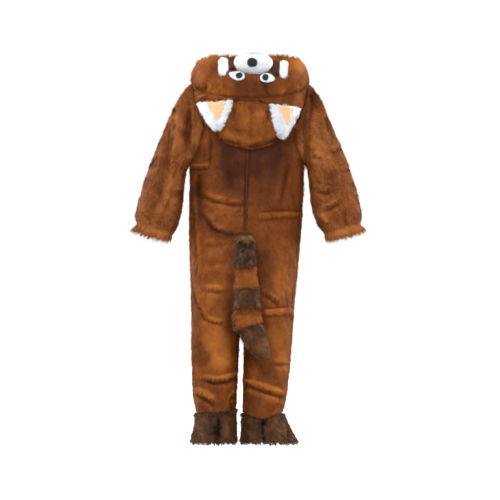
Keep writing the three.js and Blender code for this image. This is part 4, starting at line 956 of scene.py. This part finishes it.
def add_pile(node, form, seed, free=None, outside_only=False):
    """Grows blades on a shell's pile side as one mesh."""
    kind = PILES[form["pile"]]
    shell = shells[node]
    draw = np.random.default_rng(seed)
    roots, normals, relief, near_seam = grow_roots(shell, form, draw, outside_only)
    count = len(roots)
    brush = brushed(roots, normals[:, 1], form["pile"])
    ways = nap_ways(form["nap"], roots, normals)
    ways = unit(ways - dot(ways, normals) * normals)
    across = np.cross(normals, ways)
    roots, normals, painted_fold_light = lay_on_folds(shell, form["pile"], roots, normals, relief, near_seam, ways, across)
    # The folds' painted highlight and shade are added to the pile's tone
    brush = np.clip(brush + painted_fold_light, 0, 1)
    ways = unit(ways - dot(ways, normals) * normals)
    across = np.cross(normals, ways)
    swirl = kind["swirl"] * soft_noise(roots, SWIRL_SIZE, seed + 1)
    turn = swirl + kind["tuft"] * soft_noise(roots, TUFT_SIZE, seed + 2)
    turn = np.radians(turn + draw.normal(0, STRAY, count))[:, None]
    ways, across = ways * np.cos(turn) + across * np.sin(turn), across * np.cos(turn) - ways * np.sin(turn)
    raised = 1 + RAISED * soft_noise(roots, RAISED_SIZE, seed + 3)
    raised = raised + PLUMP * soft_noise(roots, PLUMP_SIZE, seed + 4)
    raised = np.clip(raised * draw.uniform(*LIFT_RANGE, count), *LIFT_LIMITS)
    lift = np.radians(kind["lift"] * raised)[:, None]
    long = kind["length"] * MM * draw.uniform(*LENGTH_RANGE, count)
    if free is not None:
        long *= 1 + (form["free"] - 1) * np.exp(-((distances(roots, free) / FREE_EDGE) ** 2))
    roll = np.radians(kind["roll"]) * draw.normal(size=count)[:, None]
    flat = across * np.cos(roll) + normals * np.sin(roll)
    half = flat * kind["width"] * MM / 2
    reach = long[:, None] * (ways * np.cos(lift) + normals * np.sin(lift))
    face = unit(np.cross(half, reach))
    outward = np.sign(dot(face, normals))
    half, face = half * outward, face * outward
    blade = np.stack([roots - half, roots + half, roots + reach], axis=1)
    curls = np.stack([soft_noise(roots, CURL_SIZE, seed + 5 + axis) for axis in range(3)], axis=1)
    shown = unit(normals + BLADE_SHINE * face + kind["mottle"] * curls)

    mesh = bpy.data.meshes.new(f"{node}_pile")
    mesh.vertices.add(3 * count)
    mesh.vertices.foreach_set("co", blade.ravel())
    mesh.loops.add(3 * count)
    mesh.loops.foreach_set("vertex_index", np.arange(3 * count, dtype=np.int32))
    mesh.polygons.add(count)
    mesh.polygons.foreach_set("loop_start", np.arange(0, 3 * count, 3, dtype=np.int32))
    mesh.polygons.foreach_set("use_smooth", np.ones(count, dtype=bool))
    rows = math.ceil(math.sqrt(count))
    cell = np.stack([np.arange(count) % rows, np.arange(count) // rows], axis=1)[:, None, :]
    low, high = BLADE_SPAN
    place = (cell + np.array([[low, low], [high, low], [0.5, high]])) / rows
    mesh.uv_layers.new(name="OFBake").data.foreach_set("uv", place.ravel())
    strand, brush = np.repeat(draw.random(count), 3), np.repeat(brush, 3)
    set_values(mesh, tip=np.tile([0.0, 0.0, 1.0], count), strand=strand, brushed=brush)
    mesh.update(calc_edges=True)
    mesh.normals_split_custom_set_from_vertices(np.repeat(shown, 3, axis=0))
    return new_piece(f"{node}_pile", mesh, [form["look"]])


# Build the cloth
SEWN_WITHIN = 2 * MM
LOOSER = 3  # where a piece is loosely sewn, the seam may lie this many times farther away
CLOTH_SEED, TRIM_SEED, SEEDS_APART = 100, 500, 10
for node, form in CLOTH.items():
    start_shell(node, form["wall"], 1 if node in COARSE else 2)
for node in TRIM:
    start_shell(node, 0, 1)

for node in CLOTH:
    border = shells[node]["border"]
    others = tree_of(np.concatenate([shells[other]["border"] for other in CLOTH if other != node]))
    joined = distances(border, others) < SEWN_WITHIN * (LOOSER if node in LOOSELY_SEWN else 1)
    shells[node]["joined"], shells[node]["free"] = border[joined], border[~joined]
for i, (node, form) in enumerate(CLOTH.items()):
    open_edge = shells[node]["free"]
    shape_shell(node, form["pile"], tree_of(shells[node]["joined"]))
    free = tree_of(open_edge) if len(open_edge) and form["free"] > 1 else None
    cloth = new_piece(f"{node}_cloth", shells[node]["mesh"], [form["look"], "backing"])
    pile = add_pile(node, form, CLOTH_SEED + SEEDS_APART * i, free)
    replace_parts(cloth, node)

for i, (node, form) in enumerate(TRIM.items()):
    shape_shell(node, form["pile"], None)
    outside_only = node.split("_")[0] in PILE_OUTSIDE_ONLY
    cloth = new_piece(f"{node}_cloth", shells[node]["mesh"], [form["look"]])
    pile = add_pile(node, form, TRIM_SEED + SEEDS_APART * i, None, outside_only)
    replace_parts(cloth, node)

for side in ("left", "right"):
    node = f"ear_felt_{side}"
    start_shell(node, 0, 2)
    mesh = shells[node]["mesh"]
    mesh.polygons.foreach_set("use_smooth", np.ones(len(mesh.polygons), dtype=bool))
    felt = new_piece(f"{node}_cloth", mesh, ["felt"])
    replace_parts(felt, node)


# Buttons: a turned disc with a raised rim, a dished middle and four holes, sewn on with crossed thread
BUTTONS = 5
BUTTON = {"segments": 48, "hole": 1.2, "hole_from_middle": 2.4, "hole_segments": 16, "drill": 8}
THREAD = {
    "thick": 0.55, "widened": 1.5, "below": 1.2, "rise": 2.6, "over_other": 0.4, "spokes": 8, "steps": 8,
}
BUTTON_PROFILE = [
    (0, -2.0), (7.6, -2.0), (9.2, -1.5), (9.9, -0.4), (9.9, 0.6),
    (9.2, 1.7), (8.3, 2.0), (7.4, 1.7), (6.6, 0.9), (4.5, 0.5), (0, 0.4),
]  # radius and height, in the button's middle line


def turned_disc(name):
    mesh = bmesh.new()
    ring = [mesh.verts.new((radius * MM, 0, height * MM)) for radius, height in BUTTON_PROFILE]
    edges = [mesh.edges.new(pair) for pair in zip(ring[:-1], ring[1:])]
    bmesh.ops.spin(
        mesh, geom=ring + edges, axis=(0, 0, 1), cent=(0, 0, 0), angle=2 * math.pi, steps=BUTTON["segments"],
    )
    bmesh.ops.remove_doubles(mesh, verts=mesh.verts, dist=2 * JOIN_WITHIN)
    bmesh.ops.recalc_face_normals(mesh, faces=mesh.faces)
    data = bpy.data.meshes.new(name)
    mesh.to_mesh(data)
    mesh.free()
    return data


def hole_places():
    reach = BUTTON["hole_from_middle"]
    return [(reach * x * MM, reach * y * MM) for x in (-1, 1) for y in (-1, 1)]


def button_mesh(name):
    """The disc with its four holes cut through."""
    disc = bpy.data.objects.new(name, turned_disc(name))
    bpy.context.collection.objects.link(disc)
    cutter = bmesh.new()
    radius = BUTTON["hole"] * MM
    for x, y in hole_places():
        drill = bmesh.ops.create_cone(
            cutter, cap_ends=True, segments=BUTTON["hole_segments"], radius1=radius, radius2=radius,
            depth=BUTTON["drill"] * MM,
        )
        bmesh.ops.translate(cutter, verts=drill["verts"], vec=(x, y, 0))
    tool_mesh = bpy.data.meshes.new("holes")
    cutter.to_mesh(tool_mesh)
    cutter.free()
    tool = bpy.data.objects.new("holes", tool_mesh)
    bpy.context.collection.objects.link(tool)
    cut = disc.modifiers.new("holes", "BOOLEAN")
    cut.operation = "DIFFERENCE"
    cut.solver = "EXACT"
    cut.object = tool
    mesh = bpy.data.meshes.new_from_object(disc.evaluated_get(bpy.context.evaluated_depsgraph_get()))
    for spent in (disc, tool):
        bpy.data.objects.remove(spent)
    mesh.name = name
    return mesh


def thread_mesh(name):
    """Two crossed bars of thread, each bowed up out of one hole and down into the opposite one."""
    mesh = bmesh.new()
    thick, spokes, steps = THREAD["thick"] * MM, THREAD["spokes"], THREAD["steps"]
    low_left, high_left, low_right, high_right = hole_places()
    for layer, (start, end) in enumerate(((low_left, high_right), (high_left, low_right))):
        a, b = Vector((*start, 0)), Vector((*end, 0))
        along = (b - a).normalized()
        over = Vector((0, 0, 1))
        aside = along.cross(over)
        rings = []
        for i in range(steps + 1):
            share = i / steps
            rise = math.sin(math.pi * share)
            height = -THREAD["below"] + THREAD["rise"] * rise + THREAD["over_other"] * layer * rise
            middle = a.lerp(b, share) + over * (height * MM)
            climb = THREAD["rise"] * math.pi * math.cos(math.pi * share) * MM
            slope = math.atan2(climb, (b - a).length)
            up = over * math.cos(slope) - along * math.sin(slope)
            turns = [2 * math.pi * k / spokes for k in range(spokes)]
            aways = [math.cos(t) * aside * THREAD["widened"] + math.sin(t) * up for t in turns]
            rings.append([mesh.verts.new(middle + thick * away) for away in aways])
        for first, second in zip(rings[:-1], rings[1:]):
            for k in range(spokes):
                mesh.faces.new((first[k], first[k - 1], second[k - 1], second[k]))
        mesh.faces.new(rings[0])
        mesh.faces.new(rings[-1][::-1])
    bmesh.ops.recalc_face_normals(mesh, faces=mesh.faces)
    data = bpy.data.meshes.new(name)
    mesh.to_mesh(data)
    mesh.free()
    data.polygons.foreach_set("use_smooth", np.ones(len(data.polygons), dtype=bool))
    return data


def add_buttons():
    """A detailed button and its thread in the place and at the tilt of each plain one."""
    for i in range(1, BUTTONS + 1):
        node = f"button_{i}"
        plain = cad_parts[node]
        points = vertex_array(plain.data)
        middle = points.mean(axis=0)
        spread = np.linalg.eigh(np.cov((points - middle).T))
        axis = Vector(spread[1][:, 0])
        if axis.y < 0:
            axis = -axis
        turn = axis.to_track_quat("Z", "X").to_matrix().to_4x4()
        place = plain.matrix_world @ (Matrix.Translation(middle) @ turn)
        disc, thread = button_mesh(f"{node}_disc"), thread_mesh(f"{node}_thread")
        for mesh in (disc, thread):
            mesh.transform(place)
        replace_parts(new_piece(f"{node}_disc", disc, ["horn"]), node)
        new_piece(f"{node}_thread", thread, ["thread"])


add_buttons()


# Stage, lights and camera, in metres and watts
FLOOR_DROP = 60 * MM
FLOOR_REACH = 14
WORLD_LIGHT = 0.42
BACKDROP_LIGHT = 1.02
LIGHTS = {
    "soft key": {"place": (-1.2, -4.1, 2.2), "aim": (0, 0, -0.6), "size": 1.3, "power": 210},
    "soft fill": {"place": (1.4, -4.4, -1.0), "aim": (0, 0, -0.5), "size": 2.0, "power": 130},
    "rim left": {"place": (-3.2, 0.9, 0.3), "aim": (0, 0, -0.45), "size": 1.4, "power": 140},
    "rim right": {"place": (3.2, 0.9, 0.3), "aim": (0, 0, -0.45), "size": 1.4, "power": 140},
}
VIEW_WIDTH = 1.375  # what the photograph's frame spans at the costume
CAMERA_AWAY = 14.0
SUIT_MIDDLE = -0.03  # the middle of the costume's depth, from which the camera stands away
CAMERA_HEIGHT = -0.473
SENSOR_WIDTH = 36
CLIP_END = 60


def add_floor():
    mesh = bpy.data.meshes.new("floor")
    low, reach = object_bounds()[0][2] - FLOOR_DROP, FLOOR_REACH
    corners = [(-reach, -reach, low), (reach, -reach, low), (reach, reach, low), (-reach, reach, low)]
    mesh.from_pydata(corners, [], [(0, 1, 2, 3)])
    floor = bpy.data.objects.new("floor", mesh)
    bpy.context.collection.objects.link(floor)
    material, _, shader = finish("pale floor", 0.9, Specular_IOR_Level=0.1)
    shader.inputs["Base Color"].default_value = (0.9, 0.9, 0.9, 1)
    shader.inputs["Emission Color"].default_value = (1, 1, 1, 1)
    shader.inputs["Emission Strength"].default_value = 1.0
    mesh.materials.append(material)
    floor.visible_diffuse = False


def add_light(name, place, aim, size, power):
    light = bpy.data.lights.new(name, "AREA")
    light.shape = "DISK"
    light.size = size
    light.energy = power
    lamp = bpy.data.objects.new(name, light)
    lamp.location = place
    lamp.rotation_euler = (Vector(aim) - Vector(place)).to_track_quat("-Z", "Y").to_euler()
    bpy.context.collection.objects.link(lamp)


def light_world():
    """Soft white light all round, in front of a white backdrop."""
    world = bpy.data.worlds.new("studio white")
    world.use_nodes = True
    seen = add_node(world.node_tree, "ShaderNodeLightPath").outputs["Is Camera Ray"]
    links = {"Value": seen, "To Min": WORLD_LIGHT, "To Max": BACKDROP_LIGHT}
    strength = add_node(world.node_tree, "ShaderNodeMapRange", links)
    backdrop = world.node_tree.nodes["Background"]
    backdrop.inputs["Color"].default_value = (1, 1, 1, 1)
    world.node_tree.links.new(strength.outputs[0], backdrop.inputs["Strength"])
    bpy.context.scene.world = world


def add_camera():
    camera = bpy.data.cameras.new("camera")
    camera.sensor_width = SENSOR_WIDTH
    camera.lens = camera.sensor_width * CAMERA_AWAY / VIEW_WIDTH
    camera.clip_end = CLIP_END
    eye = bpy.data.objects.new("camera", camera)
    eye.location = (0, SUIT_MIDDLE - CAMERA_AWAY, CAMERA_HEIGHT)
    eye.rotation_euler = (math.radians(90), 0, 0)
    bpy.context.collection.objects.link(eye)
    bpy.context.scene.camera = eye


add_floor()
light_world()
for name, light in LIGHTS.items():
    add_light(name, **light)
add_camera()
bpy.context.scene.view_settings.view_transform = "Standard"
